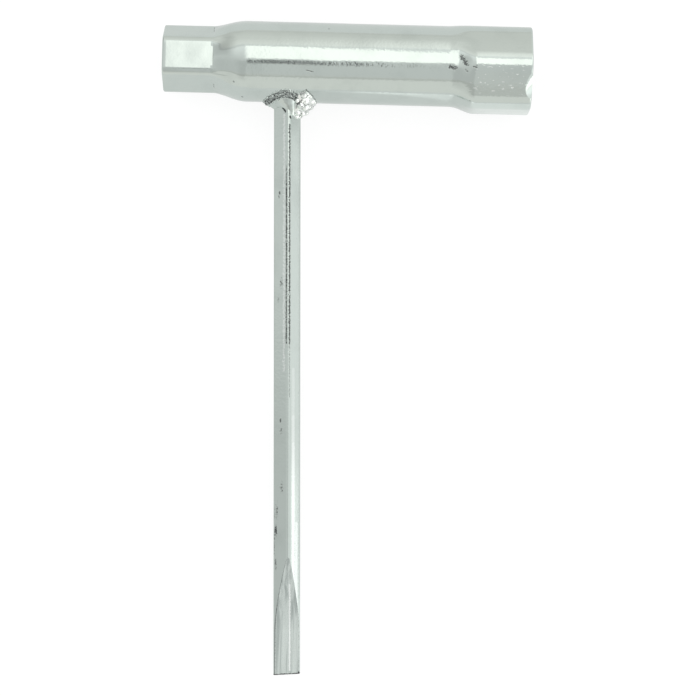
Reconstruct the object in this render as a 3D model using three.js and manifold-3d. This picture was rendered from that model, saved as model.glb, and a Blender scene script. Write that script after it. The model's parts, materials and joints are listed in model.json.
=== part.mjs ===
// Chainsaw combination wrench: a steel tube with a hexagon socket formed in each end, and a
// square bar with a screwdriver blade, welded across the tube by two passes of weld metal.
// Millimetres, +Z up, lying as it does on a table: on the large socket, the tube and the blade.
import * as THREE from "three";
import { mergeVertices } from "three/addons/utils/BufferGeometryUtils.js";
import Module from "manifold-3d";

const wasm = await Module();
wasm.setup();

// Socket tube
const TUBE_LENGTH = 109.5;
const TUBE_DIAMETER = 24;
const TUBE_WALL = 2.4;
const RIM_CHAMFER = 0.5;
const SMALL_NUT = 13;
const LARGE_NUT = 19;
const SMALL_NUT_CLEARANCE = 0.3;
const LARGE_NUT_CLEARANCE = 0.5;
const SMALL_SOCKET_DEPTH = 15;
const LARGE_SOCKET_DEPTH = 16.5;
const SMALL_SHOULDER = 9.5;
const LARGE_SHOULDER = 10;
const SMALL_INNER_CORNER_RADIUS = 0.3;
const LARGE_INNER_CORNER_RADIUS = 1;
const LARGE_SOCKET_DROP = 0.65; // from the tube's axis to the large hexagon's, towards the blade

// Ground scoop on the rim of the large socket
const SCOOP_WIDTH = 7.2;
const SCOOP_LENGTH = 1.9;
const SCOOP_DEPTH = 1;
const SCOOP_ANGLE = 56; // degrees from the blade's side of the tube round to the front

// Driver bar
const BAR_SIDE = 6;
const BAR_CORNER_RADIUS = 0.6;
const BAR_REACH = 183; // from the tube's axis to the blade's tip
const BAR_OFFSET = 17.9; // from the tube's middle, towards the small socket
const BAR_LEAN = 1.42; // degrees off square, towards the large socket
const BAR_TWIST = 7.5; // degrees about its own axis, from corner to the front
const BLADE_THICKNESS = 1.1;
const BLADE_FLAT = 13; // length of the parallel flats behind the tip
const BLADE_RAMP = 23; // length of the ground ramp from the flats to the bar's corner
const BLADE_SKEW = 2; // degrees that the tip is cut off square

// Weld metal
const WELD_GAP = 0.35; // joint clearance of the tube, the bar and the two passes
const WELD_PARTING = 75; // degrees from the large socket's side to where the passes meet
const WELD_WRAP = 38; // degrees that both passes reach round the tube, to the front and the back
const SMALL_PASS = { alongTube: 3.5, alongBar: 2.2, crown: 0.05 };
const LARGE_PASS = { alongTube: 5.3, alongBar: 4.8, crown: 0.1 };

// Mesh fineness
const MERGE_TOLERANCE = 1e-4;
const TUBE_SIDES = 72;
const BALL_SIDES = 40;
const BALL_RINGS = 28;
const SHOULDER_STEPS = 7;
const CORNER_STEPS = 5;
const SKIN_STEPS = 3;
const CROWN_STEPS = 4;
const WELD_STEPS = 14;

const radians = THREE.MathUtils.degToRad;
const zinc = { color: 0xc3cac6, roughness: 0.28, metalness: 1 };
const weldMetal = { color: 0xa9afab, roughness: 0.4, metalness: 1 };

function toSolid(geometry) {
  const bare = geometry.clone();
  bare.deleteAttribute("normal");
  bare.deleteAttribute("uv");
  const merged = mergeVertices(bare, MERGE_TOLERANCE);
  const mesh = new wasm.Mesh({
    numProp: 3,
    vertProperties: merged.attributes.position.array,
    triVerts: new Uint32Array(merged.index.array),
  });
  return new wasm.Manifold(mesh);
}

function toGeometry(solid) {
  const mesh = solid.getMesh();
  const geometry = new THREE.BufferGeometry();
  geometry.setAttribute("position", new THREE.BufferAttribute(mesh.vertProperties, 3));
  geometry.setIndex(new THREE.BufferAttribute(mesh.triVerts, 1));
  geometry.computeVertexNormals();
  return geometry;
}

function namedMesh(name, geometry, finish) {
  const mesh = new THREE.Mesh(geometry, new THREE.MeshStandardMaterial(finish));
  mesh.name = name;
  return mesh;
}

// Distance from the centre of a regular polygon with rounded corners, at an angle from the middle of a side.
function polygonRadius(sides, acrossFlats, cornerRadius, angle) {
  const half = Math.PI / sides;
  const fromFlat = Math.abs(THREE.MathUtils.euclideanModulo(angle + half, 2 * half) - half);
  const apothem = acrossFlats / 2;
  const cornerCentre = (apothem - cornerRadius) / Math.cos(half);
  const flatEnd = Math.atan2(cornerCentre * Math.sin(half), apothem);
  if (fromFlat <= flatEnd) return apothem / Math.cos(fromFlat);
  const across = cornerCentre * Math.sin(half - fromFlat);
  const along = cornerCentre * Math.cos(half - fromFlat);
  return along + Math.sqrt(Math.max(0, cornerRadius ** 2 - across ** 2));
}

// Distance from the centre of such a polygon to the tip of a rounded corner.
function cornerReach(sides, acrossFlats, cornerRadius) {
  return polygonRadius(sides, acrossFlats, cornerRadius, Math.PI / sides);
}

// Skins a row of closed rings of points. The row closes on itself, unless it has caps for its end rings.
function skinRings(rings, caps) {
  const count = rings[0].length;
  const index = [];
  const spans = caps ? rings.length - 1 : rings.length;
  for (let i = 0; i < spans; i++) {
    const here = i * count;
    const next = ((i + 1) % rings.length) * count;
    for (let j = 0; j < count; j++) {
      const k = (j + 1) % count;
      index.push(here + j, next + j, next + k);
      index.push(here + j, next + k, here + k);
    }
  }
  if (caps) {
    const last = (rings.length - 1) * count;
    index.push(...caps.flatMap(([a, b, c]) => [a, c, b]));
    index.push(...caps.flatMap(([a, b, c]) => [last + a, last + b, last + c]));
  }
  const geometry = new THREE.BufferGeometry().setFromPoints(rings.flat());
  geometry.setIndex(index);
  geometry.computeVertexNormals();
  return geometry;
}

const tubeRadius = TUBE_DIAMETER / 2;
const smallFlats = SMALL_NUT + SMALL_NUT_CLEARANCE;
const largeFlats = LARGE_NUT + LARGE_NUT_CLEARANCE;
const tubeStart = BAR_OFFSET - TUBE_LENGTH / 2;
const tubeEnd = BAR_OFFSET + TUBE_LENGTH / 2;
const roundStart = tubeStart + SMALL_SOCKET_DEPTH + SMALL_SHOULDER;
const roundEnd = tubeEnd - LARGE_SOCKET_DEPTH - LARGE_SHOULDER;

// One ring of the tube's wall, offset outwards from its inner surface. Angles run from +Y to +Z.
// The small hexagon has a flat to the front, and the large one a corner.
function tubeRing(x, offset) {
  const smallShare = 1 - THREE.MathUtils.smoothstep(x, tubeStart + SMALL_SOCKET_DEPTH, roundStart);
  const largeShare = THREE.MathUtils.smoothstep(x, roundEnd, tubeEnd - LARGE_SOCKET_DEPTH);
  const round = tubeRadius - TUBE_WALL + offset;
  const ring = [];
  for (let i = 0; i < TUBE_SIDES; i++) {
    const angle = (i / TUBE_SIDES) * 2 * Math.PI;
    const small = polygonRadius(
      6,
      smallFlats + 2 * offset,
      SMALL_INNER_CORNER_RADIUS + offset,
      angle - Math.PI / 6,
    );
    const large = polygonRadius(6, largeFlats + 2 * offset, LARGE_INNER_CORNER_RADIUS + offset, angle);
    const radius = round + (small - round) * smallShare + (large - round) * largeShare;
    const y = radius * Math.cos(angle) - LARGE_SOCKET_DROP * largeShare;
    ring.push(new THREE.Vector3(x, y, radius * Math.sin(angle)));
  }
  return ring;
}

// A ball that grinds a scoop of the stated width, length and depth off the outer edge of the large rim.
function scoopCutter() {
  const halfWidth = SCOOP_WIDTH / 2;
  const outside = (halfWidth ** 2 / SCOOP_LENGTH - SCOOP_LENGTH) / 2;
  const above = (halfWidth ** 2 - SCOOP_DEPTH ** 2) / (2 * SCOOP_DEPTH);
  const radius = Math.hypot(halfWidth, outside, above);
  const fromAxis = largeFlats / 2 + TUBE_WALL + above;
  const angle = radians(180 - SCOOP_ANGLE);
  const ball = new THREE.SphereGeometry(radius, BALL_SIDES, BALL_RINGS);
  const y = fromAxis * Math.cos(angle) - LARGE_SOCKET_DROP;
  ball.translate(tubeEnd + outside, y, fromAxis * Math.sin(angle));
  return toSolid(ball);
}

function socketTube() {
  const stations = [
    [tubeStart, RIM_CHAMFER],
    [tubeStart + RIM_CHAMFER, 0],
  ];
  for (let i = 0; i <= SHOULDER_STEPS; i++) {
    stations.push([roundStart - SMALL_SHOULDER * (1 - i / SHOULDER_STEPS), 0]);
  }
  for (let i = 0; i <= SHOULDER_STEPS; i++) {
    stations.push([roundEnd + (LARGE_SHOULDER * i) / SHOULDER_STEPS, 0]);
  }
  stations.push([tubeEnd - 2 * SCOOP_LENGTH, 0], [tubeEnd - RIM_CHAMFER, 0], [tubeEnd, RIM_CHAMFER]);
  const inner = stations.map(([x, inset]) => tubeRing(x, inset));
  const outer = stations.map(([x, inset]) => tubeRing(x, TUBE_WALL - inset));
  const wall = toSolid(skinRings([...inner, ...outer.reverse()], null));
  return namedMesh("socket_tube", toGeometry(wall.subtract(scoopCutter())), zinc);
}

// In the bar's frame its axis runs along -Y from the tube's axis at the origin, and a corner faces the front.
const barTop = tubeRadius + WELD_GAP;
const cornerOut = cornerReach(4, BAR_SIDE, BAR_CORNER_RADIUS);

// The bar's rounded square, turned so that its corners lie on X and Y.
function barSection() {
  const centre = (BAR_SIDE / 2 - BAR_CORNER_RADIUS) * Math.SQRT2;
  const section = new THREE.Shape();
  for (let i = 0; i < 4; i++) {
    const angle = (i * Math.PI) / 2;
    const x = centre * Math.cos(angle);
    const y = centre * Math.sin(angle);
    section.absarc(x, y, BAR_CORNER_RADIUS, angle - Math.PI / 4, angle + Math.PI / 4, false);
  }
  return section;
}

// What is ground off one side of the bar to leave the blade, drawn with the bar's axis along X: flat at the
// tip, then a hollow ramp up to the bar's corner.
function bladeCutter() {
  const half = BLADE_THICKNESS / 2;
  const beyond = BAR_SIDE;
  const flatStart = BAR_REACH - BLADE_FLAT;
  const rampStart = flatStart - BLADE_RAMP;
  const profile = new THREE.Shape();
  profile.moveTo(BAR_REACH + beyond, half);
  profile.lineTo(flatStart, half);
  profile.quadraticCurveTo(flatStart - BLADE_RAMP / 3, half, rampStart, cornerOut);
  profile.lineTo(rampStart, cornerOut + beyond);
  profile.lineTo(BAR_REACH + beyond, cornerOut + beyond);
  const width = 2 * BAR_SIDE;
  const cutter = new THREE.ExtrudeGeometry(profile, {
    depth: width,
    bevelEnabled: false,
    curveSegments: CORNER_STEPS * 2,
  });
  cutter.translate(0, 0, -width / 2);
  cutter.rotateY(-Math.PI / 2);
  return cutter;
}

function driverBar() {
  const stock = new THREE.ExtrudeGeometry(barSection(), {
    depth: BAR_REACH + BAR_SIDE - barTop,
    bevelEnabled: false,
    curveSegments: CORNER_STEPS,
  });
  stock.translate(0, 0, barTop);
  const front = bladeCutter();
  const back = bladeCutter().rotateZ(Math.PI);
  const end = new THREE.BoxGeometry(4 * BAR_SIDE, 4 * BAR_SIDE, 4 * BAR_SIDE);
  end.translate(0, 0, 2 * BAR_SIDE);
  end.rotateY(radians(BLADE_SKEW));
  end.translate(0, 0, BAR_REACH);
  const ground = toSolid(stock).subtract(toSolid(front)).subtract(toSolid(back));
  const bar = toGeometry(ground.subtract(toSolid(end)));
  bar.rotateX(Math.PI / 2);
  bar.rotateY(radians(BAR_TWIST));
  return namedMesh("driver_bar", bar, zinc);
}

// Height, in the bar's frame, of the underside of the leaning tube, clear of it by the weld gap.
function tubeUnderside(x, z) {
  const lean = radians(BAR_LEAN);
  return (-x * Math.sin(lean) - Math.sqrt((tubeRadius + WELD_GAP) ** 2 - z ** 2)) / Math.cos(lean);
}

// One section of a weld pass, at an angle from +X round to +Z, as pairs of reach from the bar's axis and height.
function weldSection(pass, angle) {
  const turned = angle + radians(BAR_TWIST) - Math.PI / 4;
  const nearBar = polygonRadius(4, BAR_SIDE, BAR_CORNER_RADIUS, turned) + WELD_GAP;
  const sideReach = cornerOut + pass.alongTube;
  const frontReach = tubeRadius * Math.sin(radians(WELD_WRAP));
  const toeReach = Math.hypot(sideReach * Math.cos(angle), frontReach * Math.sin(angle));
  const underside = (reach) => tubeUnderside(reach * Math.cos(angle), reach * Math.sin(angle));
  const section = [];
  for (let i = 0; i <= SKIN_STEPS; i++) {
    const reach = nearBar + ((toeReach - nearBar) * i) / SKIN_STEPS;
    section.push([reach, underside(reach)]);
  }
  const toe = new THREE.Vector2(toeReach, underside(toeReach));
  const heel = new THREE.Vector2(nearBar, underside(nearBar) - pass.alongBar);
  const outwards = new THREE.Vector2(toe.y - heel.y, heel.x - toe.x).normalize();
  for (let i = 1; i <= CROWN_STEPS; i++) {
    const share = i / CROWN_STEPS;
    const point = toe.clone().lerp(heel, share);
    point.addScaledVector(outwards, pass.crown * 4 * share * (1 - share));
    section.push([point.x, point.y]);
  }
  return section;
}

function weldBead(name, pass, fromAngle, toAngle) {
  const rings = [];
  for (let i = 0; i <= WELD_STEPS; i++) {
    const angle = fromAngle + ((toAngle - fromAngle) * i) / WELD_STEPS;
    const section = weldSection(pass, angle);
    rings.push(
      section.map(
        ([reach, height]) =>
          new THREE.Vector3(reach * Math.cos(angle), height, reach * Math.sin(angle)),
      ),
    );
  }
  const flat = weldSection(pass, fromAngle).map(([reach, height]) => new THREE.Vector2(reach, height));
  const caps = THREE.ShapeUtils.triangulateShape(flat, []);
  return namedMesh(name, skinRings(rings, caps), weldMetal);
}

// The two passes, parted by the weld gap where they meet at the front and the back of the bar.
function weldBeads() {
  const parting = radians(WELD_PARTING);
  const halfGap = WELD_GAP / BAR_SIDE;
  return [
    weldBead("weld_bead_large_side", LARGE_PASS, halfGap - parting, parting - halfGap),
    weldBead("weld_bead_small_side", SMALL_PASS, parting + halfGap, 2 * Math.PI - parting - halfGap),
  ];
}

function leaningBar() {
  const leaning = new THREE.Group();
  leaning.add(driverBar(), ...weldBeads());
  leaning.rotation.z = radians(BAR_LEAN);
  return leaning;
}

// Lays the wrench down: the tube and the large socket's corner tilt it along X, and the blade's edge along Y.
function layDown(wrench) {
  const outerCorner = LARGE_INNER_CORNER_RADIUS + TUBE_WALL;
  const largeCorner = cornerReach(6, largeFlats + 2 * TUBE_WALL, outerCorner);
  const rise = (largeCorner - tubeRadius) / (tubeEnd - LARGE_SOCKET_DEPTH - roundStart);
  const axisHeight = tubeRadius - roundStart * rise;
  const twist = radians(BAR_TWIST);
  const bladeDrop = cornerOut * Math.sin(twist) + (BLADE_THICKNESS / 2) * Math.cos(twist);
  wrench.rotation.set(Math.asin((axisHeight - bladeDrop) / BAR_REACH), -Math.atan(rise), 0);
}

const wrench = new THREE.Group();
wrench.add(socketTube(), leaningBar());
layDown(wrench);

// The part's origin is the middle of its footprint on the table.
const extent = new THREE.Box3().setFromObject(wrench, true);
const middle = extent.getCenter(new THREE.Vector3());
wrench.position.set(-middle.x, -middle.y, -extent.min.z);

const part = new THREE.Group();
part.add(wrench);

export default part;
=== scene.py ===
"""Looks of a chainsaw combination wrench: a tube with a hexagon socket swaged into each end, a square
driver bar ground to a blade, and the two weld passes that join them, in metres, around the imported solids.
"""

import json
import logging
import math
from dataclasses import dataclass
from enum import Enum
from typing import Any, ClassVar, Mapping, Optional, Sequence, Union

import bmesh
import bpy
import numpy as np
from mathutils import Matrix, Vector, noise


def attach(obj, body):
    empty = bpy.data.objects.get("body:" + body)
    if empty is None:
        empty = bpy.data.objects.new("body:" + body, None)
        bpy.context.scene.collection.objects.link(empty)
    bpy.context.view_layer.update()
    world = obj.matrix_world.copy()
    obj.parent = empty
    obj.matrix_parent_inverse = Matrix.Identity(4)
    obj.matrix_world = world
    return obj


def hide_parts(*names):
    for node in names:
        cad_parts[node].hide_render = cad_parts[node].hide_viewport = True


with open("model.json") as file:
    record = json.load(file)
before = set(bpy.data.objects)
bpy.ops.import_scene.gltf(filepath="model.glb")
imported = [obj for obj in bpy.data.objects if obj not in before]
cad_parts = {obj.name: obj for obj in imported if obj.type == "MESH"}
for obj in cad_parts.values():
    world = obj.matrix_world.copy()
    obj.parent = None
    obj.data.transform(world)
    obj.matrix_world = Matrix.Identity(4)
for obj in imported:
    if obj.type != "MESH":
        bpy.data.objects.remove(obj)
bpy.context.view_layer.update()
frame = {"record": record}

LOG = logging.getLogger("combination_wrench")
MM = 0.001
WHITE = (1.0, 1.0, 1.0)
NOISE_MIDDLE = 0.5

Colour = tuple[float, float, float]
Point = tuple[float, float, float]
Place = tuple[float, float]
Operand = Union["Signal", float]


class Slot(Enum):
    """The record's material slots."""

    ZINC = "zinc_plated_steel"
    WELD = "plated_weld_metal"


class Axis(Enum):
    """The wrench axis that a drawing or grinding line follows."""

    TUBE = 0
    BAR = 1


class Signal:
    """A node's output, on which Python's operators add Math nodes."""

    def __init__(self, graph: "Graph", socket: Optional[bpy.types.NodeSocket]) -> None:
        """Wrap one output socket of a graph's node."""
        self.graph = graph
        self.socket = socket

    def __add__(self, other: Operand) -> "Signal":
        """Sum."""
        return self.graph.math("ADD", self, other)

    def __radd__(self, other: Operand) -> "Signal":
        """Sum with a number on the left."""
        return self.graph.math("ADD", other, self)

    def __sub__(self, other: Operand) -> "Signal":
        """Difference."""
        return self.graph.math("SUBTRACT", self, other)

    def __rsub__(self, other: Operand) -> "Signal":
        """Difference with a number on the left."""
        return self.graph.math("SUBTRACT", other, self)

    def __mul__(self, other: Operand) -> "Signal":
        """Product."""
        return self.graph.math("MULTIPLY", self, other)

    def __rmul__(self, other: Operand) -> "Signal":
        """Product with a number on the left."""
        return self.graph.math("MULTIPLY", other, self)

    def __truediv__(self, other: Operand) -> "Signal":
        """Quotient."""
        return self.graph.math("DIVIDE", self, other)

    def __rtruediv__(self, other: Operand) -> "Signal":
        """Quotient with a number on the left."""
        return self.graph.math("DIVIDE", other, self)

    def __mod__(self, other: Operand) -> "Signal":
        """Remainder, never negative for a positive divisor."""
        return self.graph.math("FLOORED_MODULO", self, other)

    def __pow__(self, other: Operand) -> "Signal":
        """Power."""
        return self.graph.math("POWER", self, other)

    def __gt__(self, other: Operand) -> "Signal":
        """One where this is greater, else zero."""
        return self.graph.math("GREATER_THAN", self, other)

    def __neg__(self) -> "Signal":
        """Opposite."""
        return self.graph.math("MULTIPLY", self, -1.0)

    def __abs__(self) -> "Signal":
        """Distance from zero."""
        return self.graph.math("ABSOLUTE", self)

    def sin(self) -> "Signal":
        """Sine of an angle in radians."""
        return self.graph.math("SINE", self)

    def cos(self) -> "Signal":
        """Cosine of an angle in radians."""
        return self.graph.math("COSINE", self)

    def sqrt(self) -> "Signal":
        """Square root, zero for what is below zero."""
        return self.graph.math("SQRT", self.graph.math("MAXIMUM", self, 0.0))

    def angle_to(self, along: Operand) -> "Signal":
        """Angle of the slope that rises by this over that run, in radians."""
        return self.graph.math("ARCTAN2", self, along)

    def larger(self, other: Operand) -> "Signal":
        """The larger of two values."""
        return self.graph.math("MAXIMUM", self, other)

    def toward(self, other: Operand, share: Operand) -> "Signal":
        """This value moved by a share of the way to another."""
        return self + (other - self) * share

    def rise(self, low: Operand, high: Operand, smooth: bool = True) -> "Signal":
        """Zero below low, one above high, and a ramp between.

        Args:
            low: Where the ramp starts.
            high: Where it ends.
            smooth: Whether it eases in and out.

        Returns:
            The ramp's height.
        """
        kind = "SMOOTHSTEP" if smooth else "LINEAR"
        ends = {"Value": self, "From Min": low, "From Max": high}
        return self.graph.add("ShaderNodeMapRange", {"interpolation_type": kind}, ends)

    def band(self, start: Place, stop: Place) -> "Signal":
        """One between a ramp up and a ramp down, and zero outside them."""
        return self.rise(*start) * (1.0 - self.rise(*stop))

    def other(self, name: str) -> "Signal":
        """Another output of the same node."""
        return Signal(self.graph, self.socket.node.outputs[name])


class Graph:
    """A node tree that is built by expressions."""

    def __init__(self, tree: bpy.types.NodeTree) -> None:
        """Start with an empty tree."""
        self.tree = tree
        tree.nodes.clear()

    def add(
        self,
        kind: str,
        settings: Optional[Mapping[str, Any]] = None,
        inputs: Optional[Mapping[Union[str, int], Any]] = None,
        output: Union[str, int] = 0,
    ) -> Signal:
        """Add one node.

        Args:
            kind: The node's type.
            settings: The node's own properties, set first; "stops" are a ramp's places and levels.
            inputs: Values or signals by socket name or number, or a list of signals that are joined.
            output: Which output to return.

        Returns:
            The output, or an empty signal where the node has none.
        """
        node = self.tree.nodes.new(kind)
        for name, value in (settings or {}).items():
            if name == "stops":
                self._set_stops(node.color_ramp, value)
            else:
                setattr(node, name, value)
        for key, value in (inputs or {}).items():
            if isinstance(value, Signal):
                self.tree.links.new(value.socket, node.inputs[key])
            elif isinstance(value, list):
                for part in value:
                    self.tree.links.new(part.socket, node.inputs[key])
            else:
                node.inputs[key].default_value = value
        return Signal(self, node.outputs[output] if len(node.outputs) else None)

    @staticmethod
    def _set_stops(ramp: bpy.types.ColorRamp, stops: Sequence[Place]) -> None:
        """Give a ramp its places and grey levels, in rising order."""
        while len(ramp.elements) < len(stops):
            ramp.elements.new(1.0)
        for element, (place, level) in zip(ramp.elements, stops):
            element.position = place
            element.color = (level, level, level, 1.0)

    def math(self, operation: str, *operands: Operand) -> Signal:
        """Add a Math node for an operation on values."""
        return self.add("ShaderNodeMath", {"operation": operation}, dict(enumerate(operands)))

    def split(self, vector: Signal) -> tuple[Signal, Signal, Signal]:
        """The three parts of a vector."""
        x = self.add("ShaderNodeSeparateXYZ", inputs={"Vector": vector}, output="X")
        return x, x.other("Y"), x.other("Z")

    def join(self, x: Operand, y: Operand, z: Operand) -> Signal:
        """A vector from its three parts."""
        return self.add("ShaderNodeCombineXYZ", inputs={"X": x, "Y": y, "Z": z})

    def mix(self, share: Operand, first: Any, second: Any) -> Signal:
        """A colour that goes from the first to the second as the share goes from zero to one."""
        colour_a, colour_b, colour_result = 6, 7, 2
        inputs = {0: share, colour_a: first, colour_b: second}
        return self.add("ShaderNodeMix", {"data_type": "RGBA"}, inputs, colour_result)

    def cloud(self, vector: Signal, scale: float, detail: float = 2.0, rough: float = 0.5) -> Signal:
        """Noise between zero and one, with so many waves to the metre."""
        inputs = {"Vector": vector, "Scale": scale, "Detail": detail, "Roughness": rough}
        return self.add("ShaderNodeTexNoise", inputs=inputs)

    def vector(self, operation: str, *operands: Any, output: Union[str, int] = 0) -> Signal:
        """Add a Vector Math node for an operation on vectors."""
        return self.add("ShaderNodeVectorMath", {"operation": operation}, dict(enumerate(operands)), output)

    def scaled(self, vector: Any, factor: Operand) -> Signal:
        """A vector made longer or shorter."""
        return self.add("ShaderNodeVectorMath", {"operation": "SCALE"}, {0: vector, "Scale": factor})


SOCKET_KINDS: dict[type, str] = {
    float: "NodeSocketFloat",
    int: "NodeSocketInt",
    bpy.types.Material: "NodeSocketMaterial",
    bpy.types.Object: "NodeSocketObject",
}


class GeometryGraph(Graph):
    """A Geometry Nodes tree with named inputs that is run once on an object to make a plain mesh."""

    def __init__(self, name: str, values: Mapping[str, Any]) -> None:
        """Make the tree's inputs.

        Args:
            name: The tree's name.
            values: Each input's title and value.
        """
        super().__init__(bpy.data.node_groups.new(name, "GeometryNodeTree"))
        faces = self.tree.interface
        faces.new_socket("Geometry", in_out="OUTPUT", socket_type="NodeSocketGeometry")
        faces.new_socket("Geometry", in_out="INPUT", socket_type="NodeSocketGeometry")
        self.values: dict[str, Any] = {}
        for title, value in values.items():
            socket = faces.new_socket(title, in_out="INPUT", socket_type=SOCKET_KINDS[type(value)])
            self.values[socket.identifier] = value
        self.source = self.add("NodeGroupInput", output="Geometry")

    def size(self, title: str) -> Signal:
        """One of the tree's named inputs."""
        return self.source.other(title)

    def place(self, geometry: Signal, position: Signal) -> Signal:
        """The geometry with its points moved to a position."""
        return self.add("GeometryNodeSetPosition", inputs={"Geometry": geometry, "Position": position})

    def shift(self, geometry: Signal, offset: Signal) -> Signal:
        """The geometry with its points moved by an offset."""
        return self.add("GeometryNodeSetPosition", inputs={"Geometry": geometry, "Offset": offset})

    def bake(self, geometry: Signal, host: bpy.types.Object) -> bpy.types.Mesh:
        """Finish the tree, run it on an object, and remove the object.

        Args:
            geometry: What the tree gives; its material comes from the input called Material.
            host: The object whose mesh goes into the tree.

        Returns:
            The plain mesh.
        """
        real = self.add("GeometryNodeRealizeInstances", inputs={"Geometry": geometry})
        inputs = {"Geometry": real, "Material": self.size("Material")}
        self.add("NodeGroupOutput", inputs={0: self.add("GeometryNodeSetMaterial", inputs=inputs)})
        modifier = host.modifiers.new(self.tree.name, "NODES")
        modifier.node_group = self.tree
        for identifier, value in self.values.items():
            modifier[identifier] = value
        depsgraph = bpy.context.evaluated_depsgraph_get()
        mesh = bpy.data.meshes.new_from_object(host.evaluated_get(depsgraph), depsgraph=depsgraph)
        host.modifiers.remove(modifier)
        bpy.data.objects.remove(host)
        return mesh


def spread(first: float, last: float, pitch: float) -> list[float]:
    """Evenly spaced values from first up to, but without, last, about a pitch apart."""
    count = max(1, round(abs(last - first) / pitch))
    return [first + (last - first) * i / count for i in range(count)]


def arc(centre: Place, radius: float, first: float, last: float, steps: int) -> list[Place]:
    """Points on an arc, both ends included, with its angles in degrees."""
    angles = [math.radians(first + (last - first) * i / steps) for i in range(steps + 1)]
    return [(centre[0] + radius * math.cos(a), centre[1] + radius * math.sin(a)) for a in angles]


def link(name: str, mesh: bpy.types.Mesh) -> bpy.types.Object:
    """A new object at the origin, in the scene."""
    made = bpy.data.objects.new(name, mesh)
    bpy.context.scene.collection.objects.link(made)
    return made


def wire(name: str, points: Sequence[Point], edges: Sequence[tuple[int, int]]) -> bpy.types.Object:
    """An object of points and edges, to run a Geometry Nodes tree on."""
    mesh = bpy.data.meshes.new(name)
    mesh.from_pydata(points, edges, [])
    return link(name, mesh)


@dataclass(frozen=True)
class ToolFrame:
    """The wrench's own axes in the row frame.

    X runs along the tube to the large socket, Y away from the blade and Z to the front, from where the
    bar's axis meets the tube's.
    """

    matrix: Matrix

    @classmethod
    def from_mounts(cls, mounts: Sequence[Mapping[str, Any]], tube: "SocketTube") -> "ToolFrame":
        """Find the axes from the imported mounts.

        Args:
            mounts: The record's mounts.
            tube: The tube, which says where the large socket's mount sits on it.

        Returns:
            The frame.
        """
        found = {mount["name"]: mount for mount in mounts}
        face = Vector(found["large_socket_face"]["pos_m"])
        tip = Vector(found["blade_tip"]["pos_m"])
        x = Vector(found["large_socket_face"]["axis"]).normalized()
        z = x.cross(face - tip).normalized()
        y = z.cross(x)
        face_height = (tube.large_flats + tube.wall) / 2 - tube.drop
        origin = face - x * tube.end - y * face_height
        axes = Matrix((x, y, z)).transposed().to_4x4()
        return cls(Matrix.Translation(origin) @ axes)

    def settings(self) -> dict[str, Any]:
        """A Mapping node's values that turn row coordinates into the wrench's own."""
        back = self.matrix.inverted()
        return {"Location": back.to_translation(), "Rotation": back.to_euler()}

    def coordinates(self, graph: Graph) -> Signal:
        """A surface point in the wrench's own coordinates."""
        spot = graph.add("ShaderNodeTexCoord", output="Object")
        return graph.add("ShaderNodeMapping", inputs={"Vector": spot, **self.settings()})


def finish_piece(name: str, mesh: bpy.types.Mesh, tool: ToolFrame, crease: float) -> bpy.types.Object:
    """Close, turn outwards and shade a mesh of the wrench, and put it in its place.

    Args:
        name: The piece's name.
        mesh: Its mesh in the wrench's own coordinates.
        tool: Where the wrench lies.
        crease: Faces that meet at a sharper angle than this, in degrees, keep a hard edge.

    Returns:
        The piece.
    """
    seam = 1e-6
    work = bmesh.new()
    work.from_mesh(mesh)
    bmesh.ops.remove_doubles(work, verts=work.verts, dist=seam)
    bmesh.ops.dissolve_degenerate(work, dist=seam, edges=work.edges)
    bmesh.ops.recalc_face_normals(work, faces=work.faces)
    work.to_mesh(mesh)
    work.free()
    mesh.transform(tool.matrix)
    mesh.shade_smooth()
    mesh.set_sharp_from_angle(angle=math.radians(crease))
    return link(name, mesh)


def report(piece: bpy.types.Object, slot: Slot, *nodes: str) -> None:
    """Hand a finished piece to the frame in place of its solids, and log it."""
    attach(piece, "root")
    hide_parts(*nodes)
    LOG.info("%s: %d faces in place of %s", piece.name, len(piece.data.polygons), ", ".join(nodes))


@dataclass(frozen=True)
class Mark:
    """A nick, pit, scratch, stain, painted highlight or painted shade, from one point of the wrench to
    another.
    """

    GRAIN_WAVES: ClassVar[float] = 2600.0
    CORE: ClassVar[float] = 0.4

    first: Point
    last: Point
    radius: float
    strength: float = 1.0
    ragged: float = 1.6

    def mask(self, graph: Graph, spot: Signal, grains: Signal) -> Signal:
        """The mark's strength on it and zero away from it.

        Args:
            graph: The finish's nodes.
            spot: The surface point in the wrench's own coordinates.
            grains: Noise that makes the mark's edge ragged.

        Returns:
            The mask.
        """
        run = tuple(b - a for a, b in zip(self.first, self.last))
        offset = graph.vector("SUBTRACT", spot, self.first)
        along = graph.vector("DOT_PRODUCT", offset, run, output="Value")
        nearest = graph.scaled(run, along.rise(0.0, sum(d * d for d in run), smooth=False))
        apart = graph.vector("DISTANCE", offset, nearest, output="Value")
        apart = apart + (grains - NOISE_MIDDLE) * self.ragged * self.radius
        return self.strength * (1.0 - apart.rise(self.CORE * self.radius, self.radius))

    @staticmethod
    def any_of(marks: Sequence["Mark"], graph: Graph, spot: Signal) -> Operand:
        """The strongest of the marks at each point, zero away from all of them."""
        found: Operand = 0.0
        if marks:
            grains = graph.cloud(spot, Mark.GRAIN_WAVES)
            for mark in marks:
                found = mark.mask(graph, spot, grains).larger(found)
        return found


def mark(first: Point, last: Point, radius: float, strength: float = 1.0, ragged: float = 1.6) -> Mark:
    """A mark whose places and radius are given in millimetres."""
    return Mark(tuple(c * MM for c in first), tuple(c * MM for c in last), radius * MM, strength, ragged)


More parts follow.
